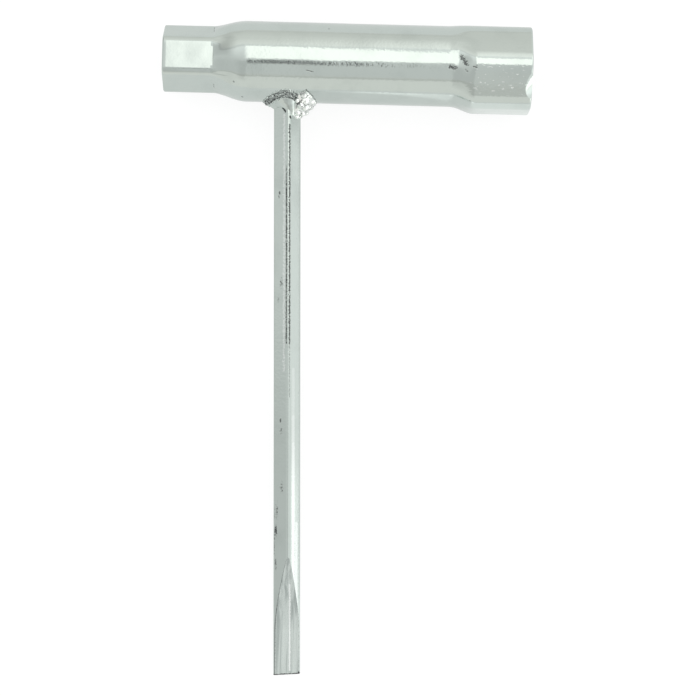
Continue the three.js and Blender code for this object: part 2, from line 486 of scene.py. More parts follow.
@dataclass(frozen=True)
class Soot:
    """Burnt scale beside the weld, and painted shade in the weld's hollows: how dark, how rough, and how
    its grains break it up.
    """

    colour: Colour = (0.05, 0.054, 0.056)
    roughness: float = 0.5
    metal_hidden: float = 0.6
    edge: Place = (0.42, 0.75)
    thinnest: Place = (0.02, 0.15)
    grain_waves: float = 1900.0
    grain_detail: float = 3.0
    grain_rough: float = 0.65
    grain_spread: float = 1.1
    grain_height: float = 0.00005

    def share(self, graph: Graph, spot: Signal) -> tuple[Signal, Signal]:
        """Soot, and painted shade in the weld's hollows, where the mesh's own attribute puts it, broken up
        by its grains.

        Args:
            graph: The finish's nodes.
            spot: The surface point in the wrench's own coordinates.

        Returns:
            The share of soot and painted shade, and the height of its grains.
        """
        grains = graph.cloud(spot, self.grain_waves, self.grain_detail, self.grain_rough)
        mask = graph.add("ShaderNodeAttribute", {"attribute_name": "soot"}, output="Fac")
        broken = mask + (grains - NOISE_MIDDLE) * self.grain_spread
        share = broken.rise(*self.edge) * mask.rise(*self.thinnest)
        return share, share * grains * self.grain_height


@dataclass(frozen=True)
class Metal:
    """Plated metal: what all of the wrench's finishes share."""

    name: str
    tint: Colour = (0.59, 0.655, 0.62)
    dull_tint: Colour = (0.51, 0.57, 0.54)
    mark_tint: Colour = (0.07, 0.075, 0.075)
    painted_highlight_tint: Colour = (0.86, 0.90, 0.88)
    smoothest: float = 0.05
    roughest: float = 0.14
    mark_depth: float = 0.00012
    marks: tuple[Mark, ...] = ()
    painted_highlights: tuple[Mark, ...] = ()
    soot: Soot = Soot()

    def material(self, tool: ToolFrame) -> bpy.types.Material:
        """Build the finish.

        Args:
            tool: Where the wrench lies.

        Returns:
            The material.
        """
        made = bpy.data.materials.new(self.name)
        made.use_nodes = True
        graph = Graph(made.node_tree)
        spot = tool.coordinates(graph)
        plain, rough, relief = self._skin(graph, spot)
        # The soot attribute also carries painted shade in the weld's hollows.
        soot, scale = self.soot.share(graph, spot)
        marks = Mark.any_of(self.marks, graph, spot)
        # Painted highlights: lighter zinc mixed into the colour along the highlight marks.
        with_painted_highlights = graph.mix(Mark.any_of(self.painted_highlights, graph, spot), plain, solid(self.painted_highlight_tint))
        marked = graph.mix(marks, with_painted_highlights, solid(self.mark_tint))
        height = relief + scale - self.mark_depth * marks
        bump = graph.add("ShaderNodeBump", inputs={"Strength": 1.0, "Distance": 1.0, "Height": height})
        shader = graph.add(
            "ShaderNodeBsdfPrincipled",
            inputs={
                "Base Color": graph.mix(soot, marked, solid(self.soot.colour)),
                "Metallic": 1.0 - soot * self.soot.metal_hidden,
                "Roughness": rough.toward(self.soot.roughness, soot),
                "Normal": bump,
            },
        )
        graph.add("ShaderNodeOutputMaterial", inputs={"Surface": shader})
        return made

    def _skin(self, graph: Graph, spot: Signal) -> tuple[Signal, Signal, Signal]:
        """The clean metal.

        Args:
            graph: The finish's nodes.
            spot: The surface point in the wrench's own coordinates.

        Returns:
            Its colour, its roughness and the height of its relief in metres.
        """
        raise NotImplementedError

    @staticmethod
    def _drawn(graph: Graph, spot: Signal, waves: float, stretch: float, along: Axis) -> Signal:
        """Noise drawn out into lines along one of the wrench's axes."""
        scale = [waves] * 3
        scale[along.value] *= stretch
        drawn = graph.add("ShaderNodeMapping", inputs={"Vector": spot, "Scale": tuple(scale)})
        return graph.cloud(drawn, 1.0)


def solid(colour: Colour) -> tuple[float, float, float, float]:
    """A colour with its alpha, as a colour socket takes it."""
    return (*colour, 1.0)


@dataclass(frozen=True)
class ZincPlating(Metal):
    """Bright zinc on drawn steel: drawing lines, faint clouds, and bright flecks where a die peened it."""

    lines_along: Axis = Axis.TUBE
    line_waves: float = 2400.0
    line_stretch: float = 0.02
    line_depth: float = 0.000004
    ripple_waves: float = 1300.0
    ripple_depth: float = 0.00002
    ripple_least: float = 0.25
    ripple_start: float = -0.014
    ripple_ramp: float = 0.003
    fleck_tint: Colour = (0.80, 0.84, 0.82)
    fleck_waves: float = 1300.0
    fleck_stretch: float = 0.5
    fleck_edge: Place = (0.63, 0.70)
    fleck_depth: float = 0.00003
    cloud_waves: float = 95.0
    cloud_detail: float = 4.0
    cloud_rough: float = 0.6
    cloud_edge: Place = (0.42, 0.75)
    cloud_share: float = 0.5
    speck_waves: float = 665.0
    speck_detail: float = 3.0
    matt_clouds: Place = (0.35, 0.75)
    matt_specks: Place = (0.35, 0.7)
    matt_shares: Point = (0.5, 0.3, 0.2)

    def _skin(self, graph: Graph, spot: Signal) -> tuple[Signal, Signal, Signal]:
        """The clean plating: see Metal."""
        lines = self._drawn(graph, spot, self.line_waves, self.line_stretch, self.lines_along)
        along, _, _ = graph.split(spot)
        worn = along.rise(self.ripple_start, self.ripple_start + self.ripple_ramp)
        worn = self.ripple_least + (1.0 - self.ripple_least) * worn
        ripple = graph.cloud(spot, self.ripple_waves) * worn
        clouds = graph.cloud(spot, self.cloud_waves, self.cloud_detail, self.cloud_rough)
        specks = graph.cloud(spot, self.speck_waves, self.speck_detail)
        peened = graph.add("ShaderNodeAttribute", {"attribute_name": "peened"}, output="Fac")
        flecks = self._drawn(graph, spot, self.fleck_waves, self.fleck_stretch, self.lines_along)
        flecks = flecks.rise(*self.fleck_edge) * peened
        dull = clouds.rise(*self.cloud_edge) * self.cloud_share
        colour = graph.mix(dull, solid(self.tint), solid(self.dull_tint))
        colour = graph.mix(flecks, colour, solid(self.fleck_tint))
        by_clouds, by_specks, by_lines = self.matt_shares
        matt = clouds.rise(*self.matt_clouds) * by_clouds + specks.rise(*self.matt_specks) * by_specks
        rough = self.smoothest + (matt + lines * by_lines) * (self.roughest - self.smoothest)
        relief = lines * self.line_depth + ripple * self.ripple_depth - flecks * self.fleck_depth
        return colour, rough, relief


@dataclass(frozen=True)
class GroundSteel(Metal):
    """Zinc over coarse lengthwise grinding: uneven streaks, light and dark, and a painted highlight line.
    """

    smoothest: float = 0.2
    roughest: float = 0.36
    tint: Colour = (0.63, 0.69, 0.66)
    dull_tint: Colour = (0.42, 0.47, 0.45)
    streak_waves: float = 1100.0
    streak_stretch: float = 0.03
    streak_edge: Place = (0.40, 0.66)
    streak_depth: float = 0.000022
    scratch_waves: float = 3600.0
    scratch_stretch: float = 0.012
    scratch_depth: float = 0.000005

    def _skin(self, graph: Graph, spot: Signal) -> tuple[Signal, Signal, Signal]:
        """The clean ground face: see Metal."""
        streaks = self._drawn(graph, spot, self.streak_waves, self.streak_stretch, Axis.BAR)
        scratches = self._drawn(graph, spot, self.scratch_waves, self.scratch_stretch, Axis.BAR)
        dark = streaks.rise(*self.streak_edge)
        colour = graph.mix(dark, solid(self.tint), solid(self.dull_tint))
        rough = self.smoothest + scratches * (self.roughest - self.smoothest)
        return colour, rough, streaks * self.streak_depth + scratches * self.scratch_depth


@dataclass(frozen=True)
class WeldMetal(Metal):
    """Plated weld metal, clouded and finely rippled."""

    cloud_waves: float = 420.0
    cloud_detail: float = 3.0
    cloud_edge: Place = (0.42, 0.7)
    cloud_share: float = 0.8
    ripple_waves: float = 900.0
    ripple_depth: float = 0.000025

    def _skin(self, graph: Graph, spot: Signal) -> tuple[Signal, Signal, Signal]:
        """The clean weld: see Metal."""
        clouds = graph.cloud(spot, self.cloud_waves, self.cloud_detail)
        ripple = graph.cloud(spot, self.ripple_waves)
        dull = clouds.rise(*self.cloud_edge) * self.cloud_share
        colour = graph.mix(dull, solid(self.tint), solid(self.dull_tint))
        rough = self.smoothest + clouds * (self.roughest - self.smoothest)
        return colour, rough, ripple * self.ripple_depth


@dataclass
class SocketTube:
    """Drawn tube with a hexagon socket swaged into each end; its rings run from the small end.

    A start is a share of a shoulder, and a power shapes how a shoulder's flats or corners leave the round.
    """

    length: float = 109.5 * MM
    diameter: float = 24 * MM
    wall: float = 2.4 * MM
    bar_offset: float = 17.9 * MM
    small_flats: float = 13.3 * MM
    small_corner: float = 0.3 * MM
    small_depth: float = 15 * MM
    small_shoulder: float = 9.5 * MM
    small_soften: float = 1.15
    small_flat_longer: float = 0.15
    small_flat_power: float = 2.2
    small_edge_power: float = 1.5
    large_flats: float = 19.5 * MM
    large_corner: float = 1 * MM
    large_depth: float = 16.5 * MM
    large_shoulder: float = 10 * MM
    large_soften: float = 2.2
    large_flat_start: float = 0.15
    large_nose_start: float = 0.45
    large_nose_power: float = 4.0
    large_swell: float = 0.42 * MM
    large_turn: float = 5.0
    drop: float = 0.65 * MM
    drop_start: float = 0.3
    sag: float = 0.2 * MM
    small_rise: float = 0.25 * MM
    crown: float = 0.12 * MM
    outer_rim: float = 0.55 * MM
    inner_rim: float = 0.35 * MM
    die_step: float = 0.10 * MM
    die_ramp: float = 0.2 * MM
    scoop_half: Point = (5.2 * MM, 8.6 * MM, 3.5 * MM)
    scoop_middle: Point = (3.1 * MM, -1.5 * MM, 2.0 * MM)
    scoop_turn: float = 31.0
    dent: float = 0.05 * MM
    dent_waves: tuple[Place, ...] = ((75.0, 2.0), (260.0, 0.35))
    dent_more_at_small: float = 0.3
    sides: int = 252

    @property
    def start(self) -> float:
        """Where the small end lies along the tube."""
        return self.bar_offset - self.length / 2

    @property
    def end(self) -> float:
        """Where the large end lies along the tube."""
        return self.bar_offset + self.length / 2

    @property
    def radius(self) -> float:
        """The round part's outer radius."""
        return self.diameter / 2

    def _profile(self) -> list[Place]:
        """The rings' places round the section of the wall.

        Returns:
            Closed list of places along the tube and heights above the inside.
        """
        coarse, medium, fine = 1.2 * MM, 0.7 * MM, 0.33 * MM
        inside, weld_end = 3 * MM, 11 * MM
        rim_steps = 5
        die = self.start + self.small_depth
        step = die + self.die_ramp
        round_start = die + self.small_shoulder
        hex_start = self.end - self.large_depth
        round_end = hex_start - self.large_shoulder
        last = self.end - self.outer_rim
        ring = spread(self.start + self.outer_rim, die, medium)
        ring += [die, step] + spread(step, round_start, fine)[1:]
        ring += spread(round_start, weld_end, fine) + spread(weld_end, round_end, coarse)
        ring += spread(round_end, hex_start, fine)
        ring += spread(hex_start, last, medium)
        places = [(x, self.wall) for x in ring]
        places += arc((last, self.wall - self.outer_rim), self.outer_rim, 90, 0, rim_steps)
        places += arc((self.end - self.inner_rim, self.inner_rim), self.inner_rim, 0, -90, rim_steps)
        back = spread(self.end - self.inner_rim, hex_start, inside)[1:]
        back += spread(hex_start, round_end, medium)
        back += spread(round_end, round_start, inside)
        back += spread(round_start, die, medium)
        back += spread(die, self.start + self.inner_rim, inside)
        places += [(x, 0.0) for x in back]
        places += arc((self.start + self.inner_rim, self.inner_rim), self.inner_rim, 270, 180, rim_steps)
        first = self.start + self.outer_rim
        places += arc((first, self.wall - self.outer_rim), self.outer_rim, 180, 90, rim_steps)[:-1]
        return places

    @staticmethod
    def _hexagon(flats: Signal, corner: Signal, angle: Signal) -> tuple[Signal, Signal]:
        """A hexagon with rounded corners.

        Args:
            flats: Its width across flats.
            corner: Its corners' radius.
            angle: The angle from the middle of a flat, in radians.

        Returns:
            The radius at that angle, and how far the angle is from a flat's middle to a corner.
        """
        half = math.pi / 6
        from_flat = abs((angle + half) % (2 * half) - half)
        apothem = flats / 2
        centre = (apothem - corner) / math.cos(half)
        flat_end = (centre * math.sin(half)).angle_to(apothem)
        aside = centre * (half - from_flat).sin()
        rounded = centre * (half - from_flat).cos() + (corner * corner - aside * aside).sqrt()
        flat = apothem / from_flat.cos()
        return flat.toward(rounded, from_flat > flat_end), from_flat / half

    def _tree(self, material: bpy.types.Material) -> tuple[GeometryGraph, Signal]:
        """The rule of the tube: a section turned on a lathe, its ends pressed from round to hexagons.

        Args:
            material: The tube's finish.

        Returns:
            The tree and its geometry.
        """
        graph = GeometryGraph(
            "swaged_tube",
            {
                "Diameter": self.diameter,
                "Wall": self.wall,
                "Small Flats": self.small_flats,
                "Small Corner": self.small_corner,
                "Small Die Line": self.start + self.small_depth,
                "Small Shoulder": self.small_shoulder,
                "Die Step": self.die_step,
                "Large Flats": self.large_flats,
                "Large Corner": self.large_corner,
                "Large Die Line": self.end - self.large_depth,
                "Large Shoulder": self.large_shoulder,
                "Large Swell": self.large_swell,
                "Large Turn": math.radians(self.large_turn),
                "Large Drop": self.drop + self.sag,
                "Large Crown": self.crown,
                "Small Rise": self.small_rise,
                "Dent": self.dent,
                "Sides": self.sides,
                "Material": material,
            },
        )
        lathe_radius = 0.02
        circle_inputs = {"Resolution": graph.size("Sides"), "Radius": lathe_radius}
        circle = graph.add("GeometryNodeCurvePrimitiveCircle", inputs=circle_inputs)
        section = graph.add("GeometryNodeMeshToCurve", inputs={"Mesh": graph.source})
        lathe = graph.add("GeometryNodeCurveToMesh", inputs={"Curve": circle, "Profile Curve": section})
        across, up, against = graph.split(graph.add("GeometryNodeInputPosition"))
        along = -against
        angle = up.angle_to(across)
        height = (across * across + up * up).sqrt() - lathe_radius

        plain = graph.size("Diameter") / 2 - graph.size("Wall") + height
        small, small_edge = self._hexagon(
            graph.size("Small Flats") + 2 * height,
            graph.size("Small Corner") + self.small_soften * height,
            angle - math.pi / 6,
        )
        swollen = 2 * (1.0 + graph.size("Large Swell") / graph.size("Wall"))
        large, large_edge = self._hexagon(
            graph.size("Large Flats") + swollen * height,
            graph.size("Large Corner") + self.large_soften * height,
            angle + graph.size("Large Turn"),
        )
        past = along - graph.size("Small Die Line")
        longer = 1.0 + self.small_flat_longer - self.small_flat_longer * small_edge
        cone = past.rise(0.0, graph.size("Small Shoulder") * longer, smooth=False)
        on_flat = 1.0 - (1.0 - cone) ** self.small_flat_power
        swept = on_flat.toward(cone.rise(0.0, 1.0), small_edge**self.small_edge_power)
        step = past.rise(0.0, self.die_ramp) * (1.0 - cone) * (1.0 - small_edge) * graph.size("Die Step")
        before = graph.size("Large Die Line") - along
        flare = 1.0 - before.rise(0.0, graph.size("Large Shoulder"), smooth=False)
        nose = large_edge * abs(angle.sin()) ** self.large_nose_power
        at_nose = flare.rise(self.large_nose_start, 1.0)
        pressed = flare.rise(self.large_flat_start, 1.0).toward(at_nose, nose)
        crowned = large - graph.size("Large Crown") * large_edge.rise(0.0, 1.0)
        radius = small.toward(plain, swept).toward(crowned, pressed) + step

        round_place = graph.join(along, radius * angle.cos(), radius * angle.sin())
        dents: Operand = 0.0
        for waves, share in self.dent_waves:
            wave = graph.cloud(round_place, waves, 1.0) - NOISE_MIDDLE
            dents = wave * share * graph.size("Dent") + dents
        real = radius + dents * (1.0 + self.dent_more_at_small - self.dent_more_at_small * cone)
        raised = graph.size("Small Rise") * (1.0 - cone.rise(0.0, 1.0))
        lift = raised - graph.size("Large Drop") * flare.rise(self.drop_start, 1.0)
        shaped = graph.place(lathe, graph.join(along, real * angle.cos() + lift, real * angle.sin()))
        cut_inputs = {"Mesh 1": shaped, "Mesh 2": self._scoop(graph)}
        cut_settings = {"operation": "DIFFERENCE", "solver": "MANIFOLD"}
        return graph, graph.add("GeometryNodeMeshBoolean", cut_settings, cut_inputs)

    def _scoop(self, graph: GeometryGraph) -> Signal:
        """The long ball, turned on the lower front flat, that leaves the scoop in the large rim."""
        lower_front_flat = 120
        segments, rings = 160, 120
        facing = math.radians(lower_front_flat - self.large_turn)
        lean = math.radians(self.scoop_turn)
        outward = Vector((0.0, math.cos(facing), math.sin(facing)))
        down = Vector((0.0, -math.sin(facing), math.cos(facing)))
        along = Vector((1.0, 0.0, 0.0))
        beyond, below, above = self.scoop_middle
        surface = self.large_flats / 2 + self.wall + self.large_swell
        centre = along * (self.end + beyond) + down * below + outward * (surface + above)
        centre.y -= self.drop + self.sag
        short = along * math.cos(lean) + down * math.sin(lean)
        long = down * math.cos(lean) - along * math.sin(lean)
        turned = Matrix((short, long, -outward)).transposed().to_euler()
        round_ball = {"Segments": segments, "Rings": rings, "Radius": 1.0}
        ball = graph.add("GeometryNodeMeshUVSphere", inputs=round_ball)
        place = {"Geometry": ball, "Translation": centre, "Rotation": turned, "Scale": self.scoop_half}
        return graph.add("GeometryNodeTransform", inputs=place)

    def _peen(self, mesh: bpy.types.Mesh) -> None:
        """Keep on the mesh where the large die has peened the tube."""
        spots = points_of(mesh)
        start = self.end - self.large_depth - self.large_shoulder / 3
        lowest = -0.8 * self.radius
        along_edge, side_edge = self.large_shoulder / 2, self.radius / 5
        past = np.clip((spots[:, 0] - start) / along_edge, 0, 1)
        below = np.clip(-spots[:, 1] / side_edge, 0, 1)
        above = np.clip((spots[:, 1] - lowest) / side_edge, 0, 1)
        keep(mesh, "peened", past * below * above)

    def build(
        self, finish: ZincPlating, tool: ToolFrame, bar: "DriverBar", passes: Sequence["WeldPass"]
    ) -> bpy.types.Object:
        """Make the tube.

        Args:
            finish: The tube's plating.
            tool: Where the wrench lies.
            bar: The bar welded to it.
            passes: The weld's passes, which leave burnt scale on the tube.

        Returns:
            The piece.
        """
        places = self._profile()
        count = len(places)
        points = [(height, x, 0.0) for x, height in places]
        host = wire("tube_section", points, [(i, (i + 1) % count) for i in range(count)])
        graph, geometry = self._tree(finish.material(tool))
        mesh = graph.bake(geometry, host)
        self._peen(mesh)
        spots = points_of(mesh)
        keep(mesh, "soot", np.maximum.reduce([weld.scale(bar, self, spots) for weld in passes]))
        return finish_piece("socket_tube_finished", mesh, tool, crease=24)


@dataclass(frozen=True)
class Smudge:
    """A soft patch of sooty specks on the bar, at a width from its axis and a reach from the tube's."""

    width: float
    reach: float
    half_width: float
    half_length: float
    strength: float

    def at(self, width: float, reach: float) -> float:
        """How sooty a place on the bar is."""
        apart = math.hypot((width - self.width) / self.half_width, (reach - self.reach) / self.half_length)
        return self.strength * max(0.0, 1 - apart)


@dataclass
class DriverBar:
    """Square bar with a corner to the front, leaning and twisted a little, ground to a driver blade."""

    side: float = 6 * MM
    corner: float = 0.6 * MM
    ridge: float = 0.95 * MM
    top: float = 10.6 * MM
    reach: float = 183 * MM
    lean: float = 1.42
    twist: float = 7.5
    blade_half: float = 0.55 * MM
    blade_flat: float = 13 * MM
    blade_ramp: float = 23 * MM
    blade_skew: float = 2.0
    tip_bevel: float = 0.12 * MM
    grind_wave: float = 0.06 * MM
    grind_pitch: float = 5 * MM
    face_wave: float = 0.02 * MM
    face_pitch: float = 4 * MM
    face_pitch_along: float = 14 * MM
    right_edge_soot: float = 0.6
    left_edge_soot: float = 0.95
    tip_soot: float = 0.8
    face_steps: int = 26
    facet_steps: int = 8
    smudges: tuple["Smudge", ...] = ()

    @property
    def corner_centre(self) -> float:
        """Distance of a corner's centre from the bar's axis."""
        return (self.side / 2 - self.corner) * math.sqrt(2)

    @property
    def corner_out(self) -> float:
        """Distance of a side corner's outermost line from the bar's axis."""
        return self.corner_centre + self.corner

    @property
    def ridge_centre(self) -> float:
        """Distance of the centre of the front ridge's rounding from the bar's axis."""
        return (self.side / 2 - self.ridge) * math.sqrt(2)

    @property
    def half_arc(self) -> float:
        """Length of the section's edge from a side corner's outermost line to where its rounding ends."""
        return self.corner * math.pi / 4

    @property
    def flat_face(self) -> float:
        """Length of the section's edge between the roundings of a side corner and of the front ridge."""
        return self.side - self.corner - self.ridge

    def surface(self, angle: float) -> float:
        """Distance of the bar's surface from its axis at an angle from +X round to the front."""
        quarter = math.pi / 2
        from_flat = abs((angle + math.radians(self.twist)) % quarter - quarter / 2)
        return min(self.side / 2 / math.cos(from_flat), self.corner_out)

    def leaning(self) -> Matrix:
        """The lean of the bar and its weld against the tube."""
        return Matrix.Rotation(math.radians(self.lean), 4, "Z")

    def _half_height(self, reach: float) -> float:
        """Half the thickness that the grinding leaves, at a distance from the tube's axis."""
        from_flat = self.reach - self.blade_flat - reach
        if from_flat >= self.blade_ramp:
            return 2 * self.corner_out
        bend = -1 + math.sqrt(1 + 3 * max(from_flat, 0.0) / self.blade_ramp)
        ground = self.blade_half + (self.corner_out - self.blade_half) * bend**2
        return ground + self.grind_wave * bend * noise.noise((reach / self.grind_pitch, 0.0, 0.0))

    def _side_point(self, run: float) -> Place:
        """The section's edge, so far along it from a side corner towards the front ridge."""
        half_arc, face = self.half_arc, self.flat_face
        slope = math.sqrt(0.5)
        if run < half_arc:
            turn = run / self.corner
            return self.corner_centre + self.corner * math.cos(turn), self.corner * math.sin(turn)
        if run < half_arc + face:
            gone = (run - half_arc + self.corner) * slope
            return self.corner_centre + 2 * self.corner * slope - gone, gone
        turn = math.pi / 4 + (run - half_arc - face) / self.ridge
        return self.ridge * math.cos(turn), self.ridge_centre + self.ridge * math.sin(turn)

    def _run_to(self, height: float) -> float:
        """How far along the section's edge a height is reached."""
        half_arc, face = self.half_arc, self.flat_face
        slope = math.sqrt(0.5)
        if height >= self.ridge_centre + self.ridge:
            return half_arc + face + self.ridge * math.pi / 4
        if height <= self.corner * slope:
            return self.corner * math.asin(height / self.corner)
        if height <= self.ridge_centre + self.ridge * slope:
            return half_arc + height / slope - self.corner
        turn = math.asin((height - self.ridge_centre) / self.ridge)
        return half_arc + face + self.ridge * (turn - math.pi / 4)

    def _front_edge(self, reach: float, inset: float) -> list[Place]:
        """The front half of a section, from the right side corner to the left.

        Args:
            reach: The section's distance from the tube's axis.
            inset: How much the section is drawn in all round.

        Returns:
            Points as widths and heights.
        """
        height = self._half_height(reach)
        run = self._run_to(height)
        right = []
        for i in range(self.face_steps + 1):
            share = (1 - math.cos(math.pi * i / self.face_steps)) / 2
            right.append(self._side_point(run * share))
        edge_width, edge_height = right[-1]
        for i in range(1, self.facet_steps + 1):
            right.append((edge_width * (1 - i / self.facet_steps), edge_height))
        shrink_wide = 1 - inset / self.corner_out
        shrink_high = 1 - inset / edge_height
        right = [(u * shrink_wide, n * shrink_high) for u, n in right]
        return right + [(-u, n) for u, n in reversed(right[:-1])]

    def _section(self, reach: float, inset: float) -> list[Point]:
        """A whole section of the bar in the wrench's own coordinates, before the lean."""
        front = self._front_edge(reach, inset)
        loop = front + [(-u, -n) for u, n in front[1:-1]]
        skew = math.tan(math.radians(self.blade_skew))
        near_tip = max(0.0, 1 - (self.reach - reach) / self.blade_flat)
        turn = math.radians(self.twist)
        points = []
        for u, n in loop:
            wave = noise.noise((u / self.face_pitch, n / self.face_pitch, reach / self.face_pitch_along))
            swell = 1 + self.face_wave * wave / self.side
            x = (u * math.cos(turn) + n * math.sin(turn)) * swell
            z = (n * math.cos(turn) - u * math.sin(turn)) * swell
            points.append((x, -(reach - u * skew * near_tip), z))
        return points

    def _stations(self) -> list[tuple[float, float]]:
        """Distances of the sections from the tube's axis, each with its inset."""
        on_bar, on_ramp, on_flat = 1.0 * MM, 0.35 * MM, 0.8 * MM
        ramp_start = self.reach - self.blade_flat - self.blade_ramp
        flat_start = self.reach - self.blade_flat
        reaches = spread(self.top, ramp_start, on_bar)
        reaches += spread(ramp_start, flat_start, on_ramp)
        reaches += spread(flat_start, self.reach - self.tip_bevel, on_flat)
        stations = [(reach, 0.0) for reach in reaches]
        return stations + [(self.reach - self.tip_bevel, 0.0), (self.reach, self.tip_bevel)]

    def _soot(self, reach: float) -> list[float]:
        """Soot round a section: in the smudges, on the ground edges and at the tip.

        Args:
            reach: The section's distance from the tube's axis.

        Returns:
            A value for each point of the section.
        """
        half = 2 * (self.face_steps + self.facet_steps)
        edge = self._front_edge(reach, 0.0)
        front = [max((smudge.at(u, reach) for smudge in self.smudges), default=0.0) for u, _ in edge]
        soot = front + [0.0] * (half - 1)
        from_tip = self.reach - reach
        ground = self.blade_flat + self.blade_ramp
        fade = 1.5
        if from_tip < ground:
            soot[self.face_steps] = self.right_edge_soot * min(1.0, fade - from_tip / ground)
            soot[half - self.face_steps] = self.left_edge_soot
        if from_tip < 2 * self.tip_bevel:
            soot = [max(value, self.tip_soot) for value in soot]
        return soot

    def line_beside_ridge(
        self, aside: float, first: float, last: float, radius: float, strength: float, ragged: float = 4.0
    ) -> Mark:
        """A mark along the bar, beside its front ridge, with its places and radius given in millimetres.

        Args:
            aside: Distance from the ridge's middle, to the right.
            first: The mark's start, from the tube's axis.
            last: Its end.
            radius: Its half width.
            strength: How strong it is.
            ragged: How ragged its edge is.

        Returns:
            The mark.
        """
        turn = math.radians(self.twist)
        u = aside * MM
        flank = self.side / 2 * math.sqrt(2) - abs(u)
        n = min(flank, self.ridge_centre + math.sqrt(max(self.ridge**2 - u**2, 0.0)))
        x = u * math.cos(turn) + n * math.sin(turn)
        z = n * math.cos(turn) - u * math.sin(turn)
        ends = [tuple(self.leaning() @ Vector((x, -reach * MM, z))) for reach in (first, last)]
        return Mark(ends[0], ends[1], radius * MM, strength, ragged)

    def build(self, plating: ZincPlating, ground: GroundSteel, tool: ToolFrame) -> bpy.types.Object:
        """Make the bar.

        Args:
            plating: The finish of the drawn faces.
            ground: The finish of the blade's ground facets.
            tool: Where the wrench lies.

        Returns:
            The piece.
        """
        sections = [self._section(reach, inset) for reach, inset in self._stations()]
        size = len(sections[0])
        half = size // 2
        facet = range(self.face_steps, self.face_steps + 2 * self.facet_steps)
        points = [point for section in sections for point in section]
        faces = [tuple(reversed(range(size)))]
        finishes = [0]
        last = (len(sections) - 1) * size
        for here in range(0, last, size):
            after = here + size
            for j in range(size):
                k = (j + 1) % size
                faces.append((here + j, here + k, after + k, after + j))
                finishes.append(1 if j % half in facet else 0)
        faces.append(tuple(range(last, last + size)))
        finishes.append(1)
        mesh = bpy.data.meshes.new("driver_bar_finished")
        mesh.from_pydata(points, [], faces)
        mesh.polygons.foreach_set("material_index", finishes)
        mesh.materials.append(plating.material(tool))
        mesh.materials.append(ground.material(tool))
        soot = [value for reach, _ in self._stations() for value in self._soot(reach)]
        mesh.attributes.new("soot", "FLOAT", "POINT").data.foreach_set("value", soot)
        mesh.transform(self.leaning())
        return finish_piece("driver_bar_finished", mesh, tool, crease=20)


@dataclass(frozen=True)
class DropRow:
    """Drops of weld metal in a row round the bar.

    Their place goes from the toe on the tube, 0, to the heel on the bar, 1; below 0 they lie on the tube.
    """

    place: float
    first: float
    pitch: float
    count: int
    radius: float
    sunk: float


@dataclass(frozen=True)
class Fillet:
    """A layer of weld metal in the corner between tube and bar, over a range of angles in degrees."""

    first: float
    last: float
    along_tube: float
    wrap: float
    along_bar: float
    along_bar_front: float
    lap: float = 0.0
    lap_blend: float = 45.0
    crown: float = 0.0
    smooth: float = 0.0
    taper: float = 0.0
    taper_least: float = 0.6
    taper_power: float = 0.5
    round_out: float = 0.0
    bury: float = 0.5 * MM
    steps: int = 10
    angle_step: float = 3.0

    def toe(self, bar: DriverBar, tube: SocketTube, angle: Any) -> Any:
        """Distance of the toe on the tube from the bar's axis, at angles from +X round to the front."""
        side = bar.corner_out + self.along_tube
        front = tube.radius * math.sin(math.radians(self.wrap))
        rounder = 1 + self.round_out * np.sin(2 * angle) ** 2
        return np.hypot(side * np.cos(angle), front * np.sin(angle)) * rounder

    @staticmethod
    def underside(bar: DriverBar, tube: SocketTube, reach: float, angle: float) -> float:
        """Height of the tube's underside over a place round the bar."""
        lean = math.radians(bar.lean)
        x = reach * math.cos(angle)
        z = min(reach * abs(math.sin(angle)), tube.radius)
        return (-x * math.sin(lean) - math.sqrt(tube.radius**2 - z**2)) / math.cos(lean)

    def surface(self, bar: DriverBar, tube: SocketTube, angle: float, place: float) -> Place:
        """A point of the layer's face: distance from the bar's axis, and height."""
        toe = float(self.toe(bar, tube, angle))
        samples = 4
        turns = [math.radians(self.smooth) * i / samples for i in range(-samples, samples + 1)]
        near = sum(bar.surface(angle + turn) for turn in turns) / len(turns)
        early = max(0.0, 1 - (math.degrees(angle) - self.first) / self.lap_blend)
        early = early * early * (3 - 2 * early)
        front = math.sin(angle) ** 2
        heel = self.along_bar + (self.along_bar_front - self.along_bar) * front + self.lap * early
        if self.taper:
            left = min(1.0, max(0.0, (self.last - math.degrees(angle)) / self.taper))
            thick = self.taper_least + (1 - self.taper_least) * left**self.taper_power
            toe = near + (toe - near) * thick
            heel *= thick
        start = Vector((toe, self.underside(bar, tube, toe, angle)))
        stop = Vector((near, self.underside(bar, tube, near, angle) - heel))
        out = Vector((start.y - stop.y, stop.x - start.x)).normalized()
        spot = start.lerp(stop, place) + out * (self.crown * 4 * place * (1 - place))
        return spot.x, spot.y

    def add_to(self, work: bmesh.types.BMesh, bar: DriverBar, tube: SocketTube) -> None:
        """Add the layer's closed shape, buried a little in the tube and the bar, to a mesh.

        Args:
            work: The mesh.
            bar: The bar it runs round.
            tube: The tube it lies on.
        """
        core = bar.side / 3
        rings = []
        for degrees in spread(self.first, self.last + self.angle_step, self.angle_step):
            angle = math.radians(degrees)
            across, forward = math.cos(angle), math.sin(angle)
            hidden = float(self.toe(bar, tube, angle)) - self.bury
            roof = [self.underside(bar, tube, reach, angle) + self.bury for reach in (core, hidden)]
            section = list(zip((core, hidden), roof))
            section += [self.surface(bar, tube, angle, i / self.steps) for i in range(self.steps + 1)]
            section.append((core, section[-1][1]))
            rings.append([work.verts.new((r * across, height, r * forward)) for r, height in section])
        for ring, following in zip(rings, rings[1:]):
            for j in range(len(ring)):
                work.faces.new((ring[j - 1], ring[j], following[j], following[j - 1]))
        work.faces.new(rings[0])
        work.faces.new(rings[-1])
        bmesh.ops.recalc_face_normals(work, faces=work.faces)


